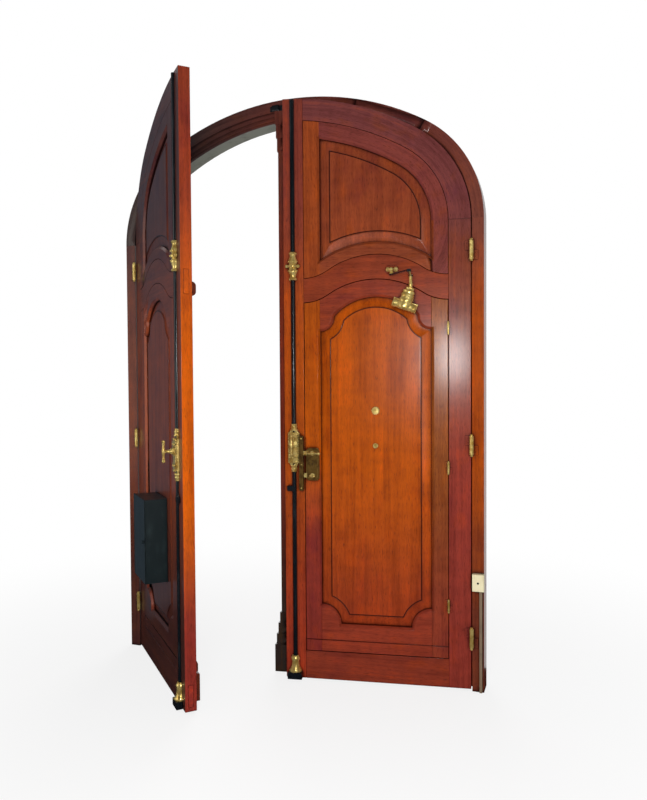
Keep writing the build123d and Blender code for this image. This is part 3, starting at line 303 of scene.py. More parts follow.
def mahogany(tone, grain, side):
    key = "mahogany_" + tone + "_" + grain + "_" + side
    if key in madeFinishes:
        return madeFinishes[key]
    look = woodLook
    material, recipe = newFinish(key)
    along, across, depth, z, x = grainWires(recipe, grain, places[side])
    seed = look["seedStep"] * len(madeFinishes)

    def pattern(name):
        stretch, fine, detail, roughness, varies = grainPatterns[name]
        run = along * stretch + seed if varies else along * stretch
        return recipe.noise(recipe.join(run, across * fine, depth * fine), 1.0, detail, roughness)

    across = across + (pattern("wander") - 0.5) * look["grainWander"]
    fibre = pattern("fibre")
    pores = recipe.smooth(pattern("pores"), *look["poreCut"])
    figure = pattern("broad") * look["broadShare"] + pattern("streak") * look["streakShare"]
    figure = figure + fibre * look["fibreShare"] + (pattern("ripple") - 0.5) * look["rippleShare"]
    low, middle, high = (tint(*colour) for colour in woodTones[tone])
    # Painted light and shade: the tone changes with height and is brightest at eye level
    body = recipe.mix(recipe.smooth(z, *toneFoot.get(tone, look["footBlend"])), low, middle)
    body = recipe.mix(recipe.smooth(z, *toneRise.get(tone, look["riseBlend"])), body, high)
    # Painted shade: the left end darkens to the shaded tone
    if tone in shadedTones:
        body = recipe.mix(recipe.smooth(x, *look["shadeBlend"]), tint(*shadedTones[tone]), body)
    plum = recipe.mix(1.0, body, look["plum"], "MULTIPLY")
    amber = recipe.mix(1.0, body, look["amber"], "MULTIPLY")
    blotch = recipe.smooth(pattern("blotch"), *look["blotchCut"]) * look["blotch"]
    bloom = recipe.smooth(pattern("bloom"), *look["bloomCut"]) * look["blotch"]
    body = recipe.mix(bloom, recipe.mix(blotch, body, plum), amber)
    grained = recipe.mix(1.0, body, recipe.add("ValToRGB", {"stops": stripeStops}, {0: figure}), "MULTIPLY")
    lift = recipe.smooth(figure, *look["liftCut"]) * look["lift"]
    lifted = recipe.mix(lift, grained, look["liftColour"], "SOFT_LIGHT")
    porous = recipe.mix(pores * look["pore"], lifted, look["poreColour"])
    # Dirt and painted shade: the colour darkens in crevices found by ambient occlusion
    hollow = recipe.smooth(recipe.crevice(look["creviceReach"]), *look["creviceCut"])
    shaded = recipe.mix(1.0, porous, look["creviceShade"], "MULTIPLY")
    colour = recipe.mix(hollow, shaded, porous)
    rough = look["varnishRough"] + pattern("smear") * look["smearRough"] + (1 - hollow) * look["hollowRough"]
    height = pattern("wave") * look["waveHeight"] + fibre * look["fibreHeight"] - pores * look["poreHeight"]
    paintWith(recipe, {
        "Base Color": colour, "Roughness": rough, "Normal": recipe.bump(height, look["bump"]),
        "Specular IOR Level": look["shine"],
        "Coat Weight": look["coat"], "Coat Roughness": look["coatRough"],
    })
    madeFinishes[key] = material
    return material


# Metal: what differs between finishes, then the patterns they share
metalLooks = {
    "brass": {
        "bright": (255, 228, 142), "dull": (206, 164, 78), "dirt": (52, 42, 18), "rough": 0.12, "wear": 0.16,
    },
    "dullBrass": {
        "bright": (128, 98, 46), "dull": (84, 60, 26), "dirt": (30, 22, 10), "rough": 0.26, "wear": 0.2,
    },
    "steel": {
        "bright": (196, 196, 198), "dull": (140, 140, 144), "dirt": (50, 48, 46), "rough": 0.2, "wear": 0.2,
    },
}
metalGrain = {
    "patch": (38.0, 4.0, 0.6), "polish": (260.0, 3.0, 0.6), "cast": (170.0, 2.0, 0.6),
    "scratch": (900.0, 900.0, 60.0), "dullCut": (0.38, 0.68),
    "creviceReach": 0.009, "creviceCut": (0.22, 0.80),
    "patchRough": 0.6, "polishRough": 0.4, "hollowRough": 0.3, "metalBase": 0.3, "metalRise": 0.42,
    "scratchHeight": 0.00002, "patchHeight": 0.0002, "castHeight": 0.0011, "bump": 0.5,
}


def metal(name):
    if name in madeFinishes:
        return madeFinishes[name]
    look, grain = metalLooks[name], metalGrain
    material, recipe = newFinish(name)
    coords = recipe.add("TexCoord", None, None, "Object")
    patch = recipe.noise(coords, *grain["patch"])
    polish = recipe.noise(coords, *grain["polish"])
    cast = recipe.noise(coords, *grain["cast"])
    scratch = recipe.noise(recipe.add("Mapping", None, {"Vector": coords, "Scale": grain["scratch"]}))
    hollow = recipe.smooth(recipe.crevice(grain["creviceReach"]), *grain["creviceCut"])
    colour = recipe.mix(recipe.smooth(patch, *grain["dullCut"]), tint(*look["bright"]), tint(*look["dull"]))
    colour = recipe.mix(hollow, tint(*look["dirt"]), colour)
    rough = look["rough"] + patch * look["wear"] * grain["patchRough"]
    rough = rough + polish * look["wear"] * grain["polishRough"] + (1 - hollow) * grain["hollowRough"]
    height = scratch * grain["scratchHeight"] + patch * grain["patchHeight"] + cast * grain["castHeight"]
    paintWith(recipe, {
        "Base Color": colour, "Roughness": rough, "Normal": recipe.bump(height, grain["bump"]),
        "Metallic": grain["metalBase"] + hollow * grain["metalRise"],
    })
    madeFinishes[name] = material
    return material


# Paint and plastic: what differs between finishes, then the patterns they share
paintLooks = {
    "blackIron": {"main": (14, 18, 22), "worn": (34, 38, 42), "rough": 0.08, "grit": 260.0, "dent": 0.00012},
    "boxPaint": {"main": (18, 29, 32), "worn": (40, 52, 54), "rough": 0.26, "grit": 380.0, "dent": 0.00010},
    "greyPaint": {
        "main": (120, 124, 112), "worn": (92, 94, 84), "rough": 0.5, "grit": 120.0, "dent": 0.0003,
    },
    "creamPlastic": {
        "main": (226, 216, 178), "worn": (200, 184, 140), "rough": 0.38, "grit": 500.0, "dent": 0.00005,
    },
    "grimyPlastic": {
        "main": (124, 104, 82), "worn": (66, 62, 54), "rough": 0.5, "grit": 300.0, "dent": 0.0001,
    },
    # The hole finish is painted shade, put where a hole is
    "darkHole": {"main": (22, 16, 12), "worn": (34, 26, 20), "rough": 0.7, "grit": 200.0, "dent": 0.0002},
}
paintGrain = {
    "patch": (9.0, 5.0, 0.6), "streak": (60.0, 60.0, 4.0), "streakDetail": 3.0,
    # The crevice tint is painted shade, multiplied into the colour where ambient occlusion finds crevices
    "creviceReach": 0.012, "creviceCut": (0.3, 0.95), "dusk": (0.45, 0.43, 0.40, 1.0),
    "patchShare": 0.6, "streakShare": 0.4, "wornCut": (0.5, 0.75),
    "patchRough": 0.14, "gritRough": 0.06, "patchDent": 2.0, "bump": 0.5,
}


def paint(name):
    if name in madeFinishes:
        return madeFinishes[name]
    look, grain = paintLooks[name], paintGrain
    material, recipe = newFinish(name)
    coords = recipe.add("TexCoord", None, None, "Object")
    patch = recipe.noise(coords, *grain["patch"])
    grit = recipe.noise(coords, look["grit"])
    drawn = recipe.add("Mapping", None, {"Vector": coords, "Scale": grain["streak"]})
    streaks = recipe.noise(drawn, 1.0, grain["streakDetail"])
    worn = patch * grain["patchShare"] + streaks * grain["streakShare"]
    colour = recipe.mix(recipe.smooth(worn, *grain["wornCut"]), tint(*look["main"]), tint(*look["worn"]))
    # Painted shade: the colour darkens in crevices found by ambient occlusion
    hollow = recipe.smooth(recipe.crevice(grain["creviceReach"]), *grain["creviceCut"])
    colour = recipe.mix(hollow, recipe.mix(1.0, colour, grain["dusk"], "MULTIPLY"), colour)
    rough = look["rough"] + patch * grain["patchRough"] + grit * grain["gritRough"]
    height = grit * look["dent"] + patch * look["dent"] * grain["patchDent"]
    normal = recipe.bump(height, grain["bump"])
    paintWith(recipe, {"Base Color": colour, "Roughness": rough, "Normal": normal})
    madeFinishes[name] = material
    return material


# Tolerances of the mesh work: distances in metres, angles in degrees
meshCare = {
    "weld": 1e-6, "flatAngle": 0.6, "cornerAngle": 28, "plateAngle": 40.107, "facing": -0.99, "level": 1e-4,
    "easedSmooth": 48, "fittingSmooth": 40,
}


def soften(mesh, angle, edge, steps=2):
    limit = math.radians(angle)
    corners = [line for line in mesh.edges if line.is_manifold and line.calc_face_angle(0.0) > limit]
    bmesh.ops.bevel(
        mesh, geom=corners, offset=edge, offset_type="OFFSET", segments=steps, profile=0.5,
        affect="EDGES", clamp_overlap=True, material=-1,
    )


def settle(name, mesh, body, finishes, nodes, smoothAngle):
    data = bpy.data.meshes.new(name)
    mesh.to_mesh(data)
    mesh.free()
    for finish in finishes:
        data.materials.append(finish)
    data.polygons.foreach_set("use_smooth", [True] * len(data.polygons))
    data.set_sharp_from_angle(angle=math.radians(smoothAngle))
    piece = bpy.data.objects.new(name, data)
    bpy.context.scene.collection.objects.link(piece)
    weighted = piece.modifiers.new("evenShading", "WEIGHTED_NORMAL")
    weighted.keep_sharp = True
    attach(piece, body)
    if nodes:
        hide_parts(*nodes)


# A V groove round the raised field, on the room's side, with the last finish in it: a dark tone that is
# partly dirt and partly painted shade
def cutQuirk(mesh, inward, width, finishIndex):
    turned = inward.to_3x3()
    facing = [face for face in mesh.faces if (turned @ face.normal).y < meshCare["facing"]]
    level = (inward @ max(facing, key=lambda face: face.calc_area()).calc_center_median()).y
    fields = [
        face for face in facing if abs((inward @ face.calc_center_median()).y - level) < meshCare["level"]
    ]
    for sink in (-width, width):
        ring = bmesh.ops.inset_region(mesh, faces=fields, thickness=width, depth=sink, use_even_offset=True)
        for face in ring["faces"]:
            face.material_index = finishIndex


# A CAD node with its edges eased, for joinery and plain castings
def eased(
    node, side, finishes, edge, pick=None, steps=2, quirk=0.0, smooth=meshCare["easedSmooth"],
):
    source = frame["nodes"][node]
    mesh = bmesh.new()
    mesh.from_mesh(source.data)
    bmesh.ops.remove_doubles(mesh, verts=mesh.verts, dist=meshCare["weld"])
    flat = math.radians(meshCare["flatAngle"])
    bmesh.ops.dissolve_limit(mesh, angle_limit=flat, verts=mesh.verts, edges=mesh.edges)
    if edge > 0:
        soften(mesh, meshCare["cornerAngle"], edge, steps)
    inward = places[side]["matrix"].inverted()
    if quirk > 0:
        cutQuirk(mesh, inward, quirk, len(finishes) - 1)
    if pick is not None:
        turned = inward.to_3x3()
        for face in mesh.faces:
            face.material_index = pick(inward @ face.calc_center_median(), turned @ face.normal)
    settle(node + "_eased", mesh, source["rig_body"], finishes, [node], smooth)


# New pieces are gathered from simple shapes in leaf coordinates
fittingLook = {
    "latheSteps": 24, "barSteps": 20, "barEdge": 0.0006, "barEdgeShare": 0.4, "ballRound": 14,
    "ballRings": 9, "screwSteps": 14, "screwRise": 0.45,
}
towardsRoom = (0, -1, 0)


class Fitting:
    def __init__(self, side):
        self.side = side
        self.mesh = bmesh.new()

    def take(self, shape, place=None):
        if place is not None:
            bmesh.ops.transform(shape, matrix=place, verts=shape.verts)
        data = bpy.data.meshes.new("step")
        shape.to_mesh(data)
        shape.free()
        self.mesh.from_mesh(data)
        bpy.data.meshes.remove(data)

    def lathe(self, profile, centre, along=(0, 0, 1), steps=fittingLook["latheSteps"], stretch=(1, 1, 1)):
        shape = bmesh.new()
        verts = [shape.verts.new((radius, 0, reach)) for radius, reach in profile]
        edges = [shape.edges.new(pair) for pair in zip(verts, verts[1:])]
        bmesh.ops.spin(
            shape, geom=verts + edges, cent=(0, 0, 0), axis=(0, 0, 1), dvec=(0, 0, 0),
            angle=2 * math.pi, steps=steps, use_merge=True,
        )
        bmesh.ops.remove_doubles(shape, verts=shape.verts, dist=meshCare["weld"])
        bmesh.ops.recalc_face_normals(shape, faces=shape.faces)
        turn = Vector((0, 0, 1)).rotation_difference(Vector(along)).to_matrix().to_4x4()
        self.take(shape, Matrix.Translation(centre) @ Matrix.Diagonal((*stretch, 1)) @ turn)

    def slab(self, ring, lift, edge):
        shape = bmesh.new()
        face = shape.faces.new([shape.verts.new(point) for point in ring])
        grown = bmesh.ops.extrude_face_region(shape, geom=[face])["geom"]
        raised = [item for item in grown if isinstance(item, bmesh.types.BMVert)]
        bmesh.ops.translate(shape, vec=lift, verts=raised)
        bmesh.ops.holes_fill(shape, edges=[line for line in shape.edges if line.is_boundary])
        bmesh.ops.recalc_face_normals(shape, faces=shape.faces)
        if edge > 0:
            soften(shape, meshCare["plateAngle"], edge)
        self.take(shape)

    def plate(self, outline, front, back, edge):
        self.slab([(x, back, z) for x, z in outline], (0, front - back, 0), edge)

    def post(self, outline, foot, top, edge):
        self.slab([(x, y, foot) for x, y in outline], (0, 0, top - foot), edge)

    def ball(self, centre, radius, stretch=(1, 1, 1)):
        shape = bmesh.new()
        look = fittingLook
        bmesh.ops.create_uvsphere(
            shape, u_segments=look["ballRound"], v_segments=look["ballRings"], radius=radius,
        )
        self.take(shape, Matrix.Translation(centre) @ Matrix.Diagonal((*stretch, 1)))

    def beads(self, first, last, count, radius):
        for index in range(count):
            self.ball(Vector(first).lerp(Vector(last), index / (count - 1)), radius)

    def bar(self, first, last, radius):
        start, end = Vector(first), Vector(last)
        length = (end - start).length
        soft = min(fittingLook["barEdge"], radius * fittingLook["barEdgeShare"])
        profile = [
            (0, 0), (radius - soft, 0), (radius, soft),
            (radius, length - soft), (radius - soft, length), (0, length),
        ]
        self.lathe(profile, start, end - start, fittingLook["barSteps"])

    def screw(self, centre, radius):
        rise = radius * fittingLook["screwRise"]
        profile = [(0, 0), (radius, 0), (radius * 0.92, rise * 0.6), (radius * 0.5, rise), (0, rise * 1.08)]
        self.lathe(profile, centre, towardsRoom, fittingLook["screwSteps"])

    def finish(self, name, body, finish, nodes, slotName):
        bmesh.ops.transform(self.mesh, matrix=places[self.side]["matrix"], verts=self.mesh.verts)
        bmesh.ops.recalc_face_normals(self.mesh, faces=self.mesh.faces)
        settle(name, self.mesh, body, [finish], nodes, meshCare["fittingSmooth"])


def boxOutline(left, right, foot, top):
    return [(left, foot), (right, foot), (right, top), (left, top)]


def ovalOutline(middle, height, halfWidth, halfHeight, steps):
    turns = [2 * math.pi * step / steps for step in range(steps)]
    return [(middle + halfWidth * math.cos(turn), height + halfHeight * math.sin(turn)) for turn in turns]


# A box with its corners scooped out
def hollowOutline(left, right, foot, top, corner, steps=5):
    spots = [(left, foot, 90), (right, foot, 180), (right, top, 270), (left, top, 0)]
    points = []
    for x, z, start in spots:
        for step in range(steps + 1):
            turn = math.radians(start - 90 * step / steps)
            points.append((x + corner * math.cos(turn), z + corner * math.sin(turn)))
    return points


# Joinery: how far each kind of piece has its edges eased, and the grooves' width
easing = {
    "jamb": 0.003, "stile": 0.0022, "arch": 0.0018, "wicket": 0.0018, "frame": 0.0014, "panel": 0.001,
    "trim": 0.0016, "strip": 0.0045, "stripSteps": 3, "quirk": 0.0026, "iron": 0.001, "rod": 0.0006,
    "bolt": 0.0012, "pull": 0.0008, "letterBox": 0.001, "plastic": 0.0008,
}


def joinery(node, side, tones, edge, pick=None, steps=2, quirk=0.0):
    finishes = [mahogany(tone, grain, side) for tone, grain in tones]
    eased(node, side, finishes, edge, pick, steps, quirk)


def raisedPanel(node, side, tone):
    joinery(node, side, [(tone, "up"), ("quirk", "up")], easing["panel"], quirk=easing["quirk"])


# The frame
# The cable cover is cream above this height and a darker brownish grey below it
coverLook = {"grimeTop": 0.43}


def coverEnds(point, normal):
    return 0 if point.z > coverLook["grimeTop"] else 1


# The left jamb takes a darker copy of the jamb's tone: painted shade
joinery("left_jamb", "frame", [("jambLeft", "up")], easing["jamb"])
joinery("right_jamb", "frame", [("jamb", "up")], easing["jamb"])
joinery("frame_arch", "frame", [("frameHead", "arch")], 0.0)
eased("outer_lining", "frame", [paint("greyPaint")], 0.0)
eased("head_keep", "frame", [paint("blackIron")], easing["iron"])
coverFinishes = [paint("creamPlastic"), paint("grimyPlastic")]
eased("cable_cover", "frame", coverFinishes, easing["plastic"], coverEnds)
print("frame joinery done")

# The leaves: lines at which a piece changes finish, and the tone of each piece
leafLines = {
    "sightLeft": 0.201, "sightRight": 0.745, "sightSlack": 0.0005, "spring": 2.265,
    "mouldingLeft": 0.6, "mouldingTurn": -0.35, "meetingRight": 0.03, "meetingTurn": -0.6,
    "trimFoot": 0.152, "trimTop": 0.32,
}
leafTones = {
    # The left leaf's faces take a darker tone and its meeting edges a brighter one: painted shade and
    # painted light
    "left": {
        "stile": "leftFace", "hang": "leftFace", "arch": "leftFace", "mid": "leftFace", "bottom": "leftFace",
        "upperStile": "leftFace", "upperRail": "leftFace", "upperArch": "leftFace", "field": "leftFace",
        "stileEdge": "meetingEdge", "midEdge": "meetingEdge", "bottomEdge": "meetingEdge",
        "archGrain": "across",
    },
    "right": {
        "stile": "leadStile", "hang": "hangStile", "arch": "archRail", "mid": "midRail",
        "bottom": "bottomRail", "upperStile": "upperStile", "upperRail": "upperRail",
        "upperArch": "upperArch", "field": "upperField",
        "stileEdge": "leadStile", "midEdge": "midRail", "bottomEdge": "bottomRail", "archGrain": "arch",
    },
}


def upperParts(point, normal):
    if point.x < leafLines["sightLeft"] - leafLines["sightSlack"]:
        return 0
    return 1 if point.z < leafLines["spring"] else 2


def lowerParts(point, normal):
    if normal.x < leafLines["mouldingTurn"] and point.x > leafLines["mouldingLeft"]:
        return 2
    return 1 if leafLines["sightLeft"] <= point.x <= leafLines["sightRight"] else 0


def edgeOrFace(point, normal):
    return 1 if normal.x < leafLines["meetingTurn"] and point.x < leafLines["meetingRight"] else 0


def trimParts(point, normal):
    return 1 if leafLines["trimFoot"] < point.z < leafLines["trimTop"] else 0


for side, tone in leafTones.items():
    arched = tone["archGrain"]
    stile = easing["stile"]
    stileTones = [(tone["stile"], "up"), (tone["stileEdge"], "up")]
    joinery(side + "_lead_stile", side, stileTones, stile, edgeOrFace)
    joinery(side + "_hang_stile", side, [(tone["hang"], "up")], stile)
    joinery(side + "_arch_rail", side, [(tone["arch"], arched)], easing["arch"])
    for rail in ("mid", "bottom"):
        railTones = [(tone[rail], "across"), (tone[rail + "Edge"], "across")]
        joinery(side + "_" + rail + "_rail", side, railTones, stile, edgeOrFace)
    upperTones = [(tone["upperStile"], "up"), (tone["upperRail"], "across"), (tone["upperArch"], arched)]
    joinery(side + "_upper_frame", side, upperTones, easing["frame"], upperParts)
    raisedPanel(side + "_upper_panel", side, tone["field"])
    trimTones = [("outside", "across"), ("outside", "up")]
    joinery(side + "_outer_trim", side, trimTones, easing["trim"], trimParts)
# The left lower frame has darker faces, which are painted shade, and brighter mouldings, which are painted
# light
lowerTones = [("leftFace", "up"), ("leftFace", "across"), ("litMoulding", "up")]
joinery("left_lower_frame", "left", lowerTones, easing["frame"], lowerParts)
raisedPanel("left_lower_panel", "left", "leftFace")
joinery("astragal", "right", [("coverStrip", "up")], easing["strip"], steps=easing["stripSteps"])
print("leaf joinery done")

# The wicket
joinery("wicket_lock_stile", "right", [("wicketStile", "up")], easing["wicket"])
joinery("wicket_hinge_stile", "right", [("wicketHinge", "up")], easing["wicket"])
joinery("wicket_top_rail", "right", [("wicketRail", "across")], easing["wicket"])
joinery("wicket_bottom_rail", "right", [("wicketRail", "across")], easing["wicket"])
raisedPanel("wicket_panel", "right", "field")
print("wicket joinery done")

# Cremone bolts: brass case, guides and handle, iron rods and shoes
boltX = 0.066
boltHandleHeight = 1.185
caseLook = {
    "middle": 1.168, "half": 0.086, "wide": 0.029, "corner": 0.011, "front": 0.010, "edge": 0.0015,
    "fieldWide": 0.020, "fieldInset": 0.010, "fieldCorner": 0.007, "fieldFront": 0.018, "fieldBack": 0.009,
    "fieldEdge": 0.002, "cordAside": 0.0235, "cordDepth": 0.009, "cordRadius": 0.0035, "cordInset": 0.015,
    "cordSteps": 12, "beadDepth": 0.0115, "beadInset": 0.020, "beadRadius": 0.0052, "beadCount": 13,
    "ribInsets": (0.030, 0.046), "ribHalf": 0.026, "ribDepth": 0.0165, "ribRadius": 0.0042,
    "rowInset": 0.038, "rowHalf": 0.018, "rowDepth": 0.0185, "rowRadius": 0.0042, "rowCount": 5,
    "dishDepth": 0.0175, "dishSteps": 28, "budInset": 0.015, "budDepth": 0.018, "budRadius": 0.0075,
    "budStretch": (1.5, 0.7, 0.9), "pipAside": 0.0155, "pipDepth": 0.0155, "pipRadius": 0.0052,
    "neckLap": 0.001,
}
guideLook = {
    "middle": 2.067, "half": 0.069, "steps": 28, "earAside": 0.029, "earDepth": 0.006, "earRadius": 0.0085,
    "stemEnd": 0.027, "stemRadius": 0.004, "pearls": 7, "pearlRadius": 0.0034,
    "pearlRows": ((0.069, 0.0255), (0.0465, 0.0225), (0.0915, 0.0225)),
    "rimPearls": 9, "rimReach": 0.029, "rimRise": 0.0045, "rimRadius": 0.0036,
}
shoeLook = {
    "foot": 0.0102, "top": 0.044, "half": 0.036, "deep": 0.030, "edge": 0.0016, "channel": 0.0124,
    "channelSteps": 12, "screwAside": 0.026, "screwHeight": 0.027, "screwRadius": 0.004,
}
handleLook = {
    "standoff": 0.066, "shaftStart": 0.0281, "steps": 20, "spindle": (0.0245, 0.035),
    "spindleRadius": 0.0069, "ballRadius": 0.0079,
}
neckShape = [
    (0.0, 0.0), (0.0185, 0.0), (0.0195, 0.003), (0.0185, 0.006), (0.0150, 0.008), (0.0140, 0.012),
    (0.0165, 0.0165), (0.0170, 0.0195), (0.0160, 0.0225), (0.0135, 0.0255), (0.0130, 0.030), (0.0150, 0.032),
    (0.0145, 0.034), (0.0, 0.034),
]
dishShape = [
    (0, 0), (0.0225, 0), (0.0235, 0.003), (0.0215, 0.006), (0.0180, 0.0065), (0.0165, 0.009),
    (0.0125, 0.0105), (0, 0.0105),
]
balusterShape = [
    (0.0, 0.0), (0.0165, 0.0), (0.0200, 0.003), (0.0210, 0.0065), (0.0190, 0.010), (0.0155, 0.0125),
    (0.0150, 0.018), (0.0165, 0.026), (0.0200, 0.035), (0.0228, 0.043), (0.0226, 0.049), (0.0190, 0.056),
    (0.0175, 0.060), (0.0250, 0.064), (0.0268, 0.069), (0.0250, 0.074), (0.0175, 0.078), (0.0190, 0.082),
    (0.0226, 0.089), (0.0228, 0.095), (0.0200, 0.103), (0.0165, 0.112), (0.0150, 0.120), (0.0155, 0.1255),
    (0.0190, 0.128), (0.0210, 0.1315), (0.0200, 0.135), (0.0165, 0.138), (0.0, 0.138),
]
flareShape = [
    (0.0, 0.0), (0.0300, 0.0), (0.0308, 0.004), (0.0300, 0.009), (0.0262, 0.014), (0.0222, 0.022),
    (0.0192, 0.034), (0.0180, 0.046), (0.0188, 0.054), (0.0215, 0.060), (0.0222, 0.064), (0.0210, 0.069),
    (0.0180, 0.073), (0.0175, 0.078), (0.0165, 0.080), (0.0, 0.080),
]
gripShape = [
    (0.0, -0.052), (0.0040, -0.0512), (0.0068, -0.048), (0.0078, -0.044), (0.0068, -0.040),
    (0.0048, -0.0375), (0.0062, -0.0350), (0.0062, -0.0325), (0.0046, -0.030), (0.0052, -0.022),
    (0.0064, -0.012), (0.0074, -0.008), (0.0078, 0.0), (0.0074, 0.008), (0.0064, 0.012), (0.0052, 0.022),
    (0.0046, 0.030), (0.0062, 0.0325), (0.0062, 0.0350), (0.0048, 0.0375), (0.0068, 0.040), (0.0078, 0.044),
    (0.0068, 0.048), (0.0040, 0.0512), (0.0, 0.052),
]
shaftShape = [
    (0.0, 0.0), (0.0128, 0.0), (0.0130, 0.004), (0.0118, 0.007), (0.0085, 0.0085), (0.0070, 0.012),
    (0.0082, 0.016), (0.0082, 0.018), (0.0066, 0.021), (0.0064, 0.028), (0.0078, 0.031), (0.0078, 0.034),
    (0.0060, 0.0365), (0.0, 0.038),
]


def caseOrnament(case, foot, top):
    look, x = caseLook, boltX
    length = look["half"] * 2 - look["cordInset"] * 2
    cord = [(0, 0), (look["cordRadius"], 0), (look["cordRadius"], length), (0, length)]
    for edge in (-1, 1):
        aside = x + edge * look["cordAside"]
        low = (aside, -look["beadDepth"], foot + look["beadInset"])
        high = (aside, -look["beadDepth"], top - look["beadInset"])
        case.beads(low, high, look["beadCount"], look["beadRadius"])
        case.lathe(cord, (aside, -look["cordDepth"], foot + look["cordInset"]), steps=look["cordSteps"])
    outer, inner = look["ribInsets"]
    for height in (foot + outer, foot + inner, top - inner, top - outer):
        near = (x - look["ribHalf"], -look["ribDepth"], height)
        case.bar(near, (x + look["ribHalf"], -look["ribDepth"], height), look["ribRadius"])
    for height in (foot + look["rowInset"], top - look["rowInset"]):
        near = (x - look["rowHalf"], -look["rowDepth"], height)
        far = (x + look["rowHalf"], -look["rowDepth"], height)
        case.beads(near, far, look["rowCount"], look["rowRadius"])
    case.lathe(dishShape, (x, -look["dishDepth"], boltHandleHeight), towardsRoom, look["dishSteps"])
    for height in (foot + look["budInset"], top - look["budInset"]):
        case.ball((x, -look["budDepth"], height), look["budRadius"], look["budStretch"])
        for edge in (-1, 1):
            case.ball((x + edge * look["pipAside"], -look["pipDepth"], height), look["pipRadius"])


def boltCase(side):
    look, x = caseLook, boltX
    case = Fitting(side)
    foot, top = look["middle"] - look["half"], look["middle"] + look["half"]
    back = hollowOutline(x - look["wide"], x + look["wide"], foot, top, look["corner"])
    case.plate(back, -look["front"], 0.0, look["edge"])
    wide, inset = look["fieldWide"], look["fieldInset"]
    field = hollowOutline(x - wide, x + wide, foot + inset, top - inset, look["fieldCorner"])
    case.plate(field, -look["fieldFront"], -look["fieldBack"], look["fieldEdge"])
    caseOrnament(case, foot, top)
    case.lathe(neckShape, (x, 0, top - look["neckLap"]))
    case.lathe(neckShape, (x, 0, foot + look["neckLap"]), (0, 0, -1))
    case.finish(side + "BoltCase", side + "_leaf", metal("brass"), [side + "_bolt_case"], "brass")


def pearlRow(guides, count, reach, height, radius):
    for step in range(count):
        turn = math.pi * (step + 0.5) / count
        guides.ball((boltX + reach * math.cos(turn), -reach * math.sin(turn), height), radius)


def boltGuides(side):
    look, x = guideLook, boltX
    guides = Fitting(side)
    foot = look["middle"] - look["half"]
    guides.lathe(balusterShape, (x, 0, foot), steps=look["steps"])
    for edge in (-1, 1):
        depth, height = -look["earDepth"], look["middle"]
        guides.ball((x + edge * look["earAside"], depth, height), look["earRadius"])
        guides.bar((x, depth, height), (x + edge * look["stemEnd"], depth, height), look["stemRadius"])
    for rise, reach in look["pearlRows"]:
        pearlRow(guides, look["pearls"], reach, foot + rise, look["pearlRadius"])
    guides.lathe(flareShape, (x, 0, shoeLook["top"]), steps=look["steps"])
    rim = shoeLook["top"] + look["rimRise"]
    pearlRow(guides, look["rimPearls"], look["rimReach"], rim, look["rimRadius"])
    guides.finish(side + "BoltGuides", side + "_leaf", metal("brass"), [side + "_bolt_guides"], "brass")


# The shoe has a half-round channel that the lower rod runs in
def boltShoe(side):
    look, x = shoeLook, boltX
    shoe = Fitting(side)
    wide, deep, channel, steps = look["half"], look["deep"], look["channel"], look["channelSteps"]
    turns = [math.pi * (1 + step / steps) for step in range(steps + 1)]
    outline = [(x + channel * math.cos(turn), channel * math.sin(turn)) for turn in turns]
    outline += [(x + wide, 0), (x + wide, -deep), (x - wide, -deep), (x - wide, 0)]
    shoe.post(outline, look["foot"], look["top"], look["edge"])
    for edge in (-1, 1):
        shoe.screw((x + edge * look["screwAside"], -deep, look["screwHeight"]), look["screwRadius"])
    shoe.finish(side + "BoltShoe", side + "_leaf", paint("blackIron"), [side + "_bolt_guides"], "black_iron")


def boltHandle(side):
    look, x, height = handleLook, boltX, boltHandleHeight
    handle = Fitting(side)
    handle.lathe(shaftShape, (x, -look["shaftStart"], height), towardsRoom, look["steps"])
    start, end = look["spindle"]
    handle.bar((x, -start, height), (x, -end, height), look["spindleRadius"])
    handle.lathe(gripShape, (x, -look["standoff"], height), steps=look["steps"])
    handle.ball((x, -look["standoff"], height), look["ballRadius"])
    handle.finish(side + "BoltHandle", side + "_handle", metal("brass"), [side + "_bolt_handle"], "brass")


for side in ("left", "right"):
    boltCase(side)
    boltGuides(side)
    boltShoe(side)
    boltHandle(side)
    for rod in ("_upper_rod", "_lower_rod"):
        iron = [paint("blackIron")]
        eased(side + rod, side, iron, easing["rod"], smooth=meshCare["fittingSmooth"])
print("bolts done")

# Hinges: brass barrels with ball ends, and flags varnished over with the wood
hinges = {
    "main": {
        "x": 0.9325, "stand": 0.011, "heights": (0.260, 1.1875, 2.115), "radius": 0.010, "half": 0.046,
        "flag": 0.030, "thick": 0.003,
    },
    "wicket": {
        "x": 0.8245, "stand": 0.0065, "heights": (0.409, 1.0785, 1.748), "radius": 0.0055, "half": 0.029,
        "flag": 0.018, "thick": 0.002,
    },
}
hingeLook = {
    "gap": 0.0003, "lip": 0.001, "ringShare": 0.12, "flagGap": 0.0004, "flagEdge": 0.0006,
    "screwShares": (0.3, 0.72), "screwAside": 0.72, "screwShare": 0.34, "screwSink": 0.0002,
}


def barrelShape(radius, reach):
    gap, ring = hingeLook["gap"], radius * hingeLook["ringShare"]
    return [
        (0, gap), (radius * 0.96, gap), (radius, hingeLook["lip"]), (radius, reach - ring),
        (radius * 0.82, reach), (radius * 0.5, reach + ring), (radius * 0.55, reach + ring * 2),
        (radius * 0.8, reach + ring * 4), (radius * 0.84, reach + ring * 5.5),
        (radius * 0.6, reach + radius * 0.8), (0, reach + radius * 0.84),
    ]


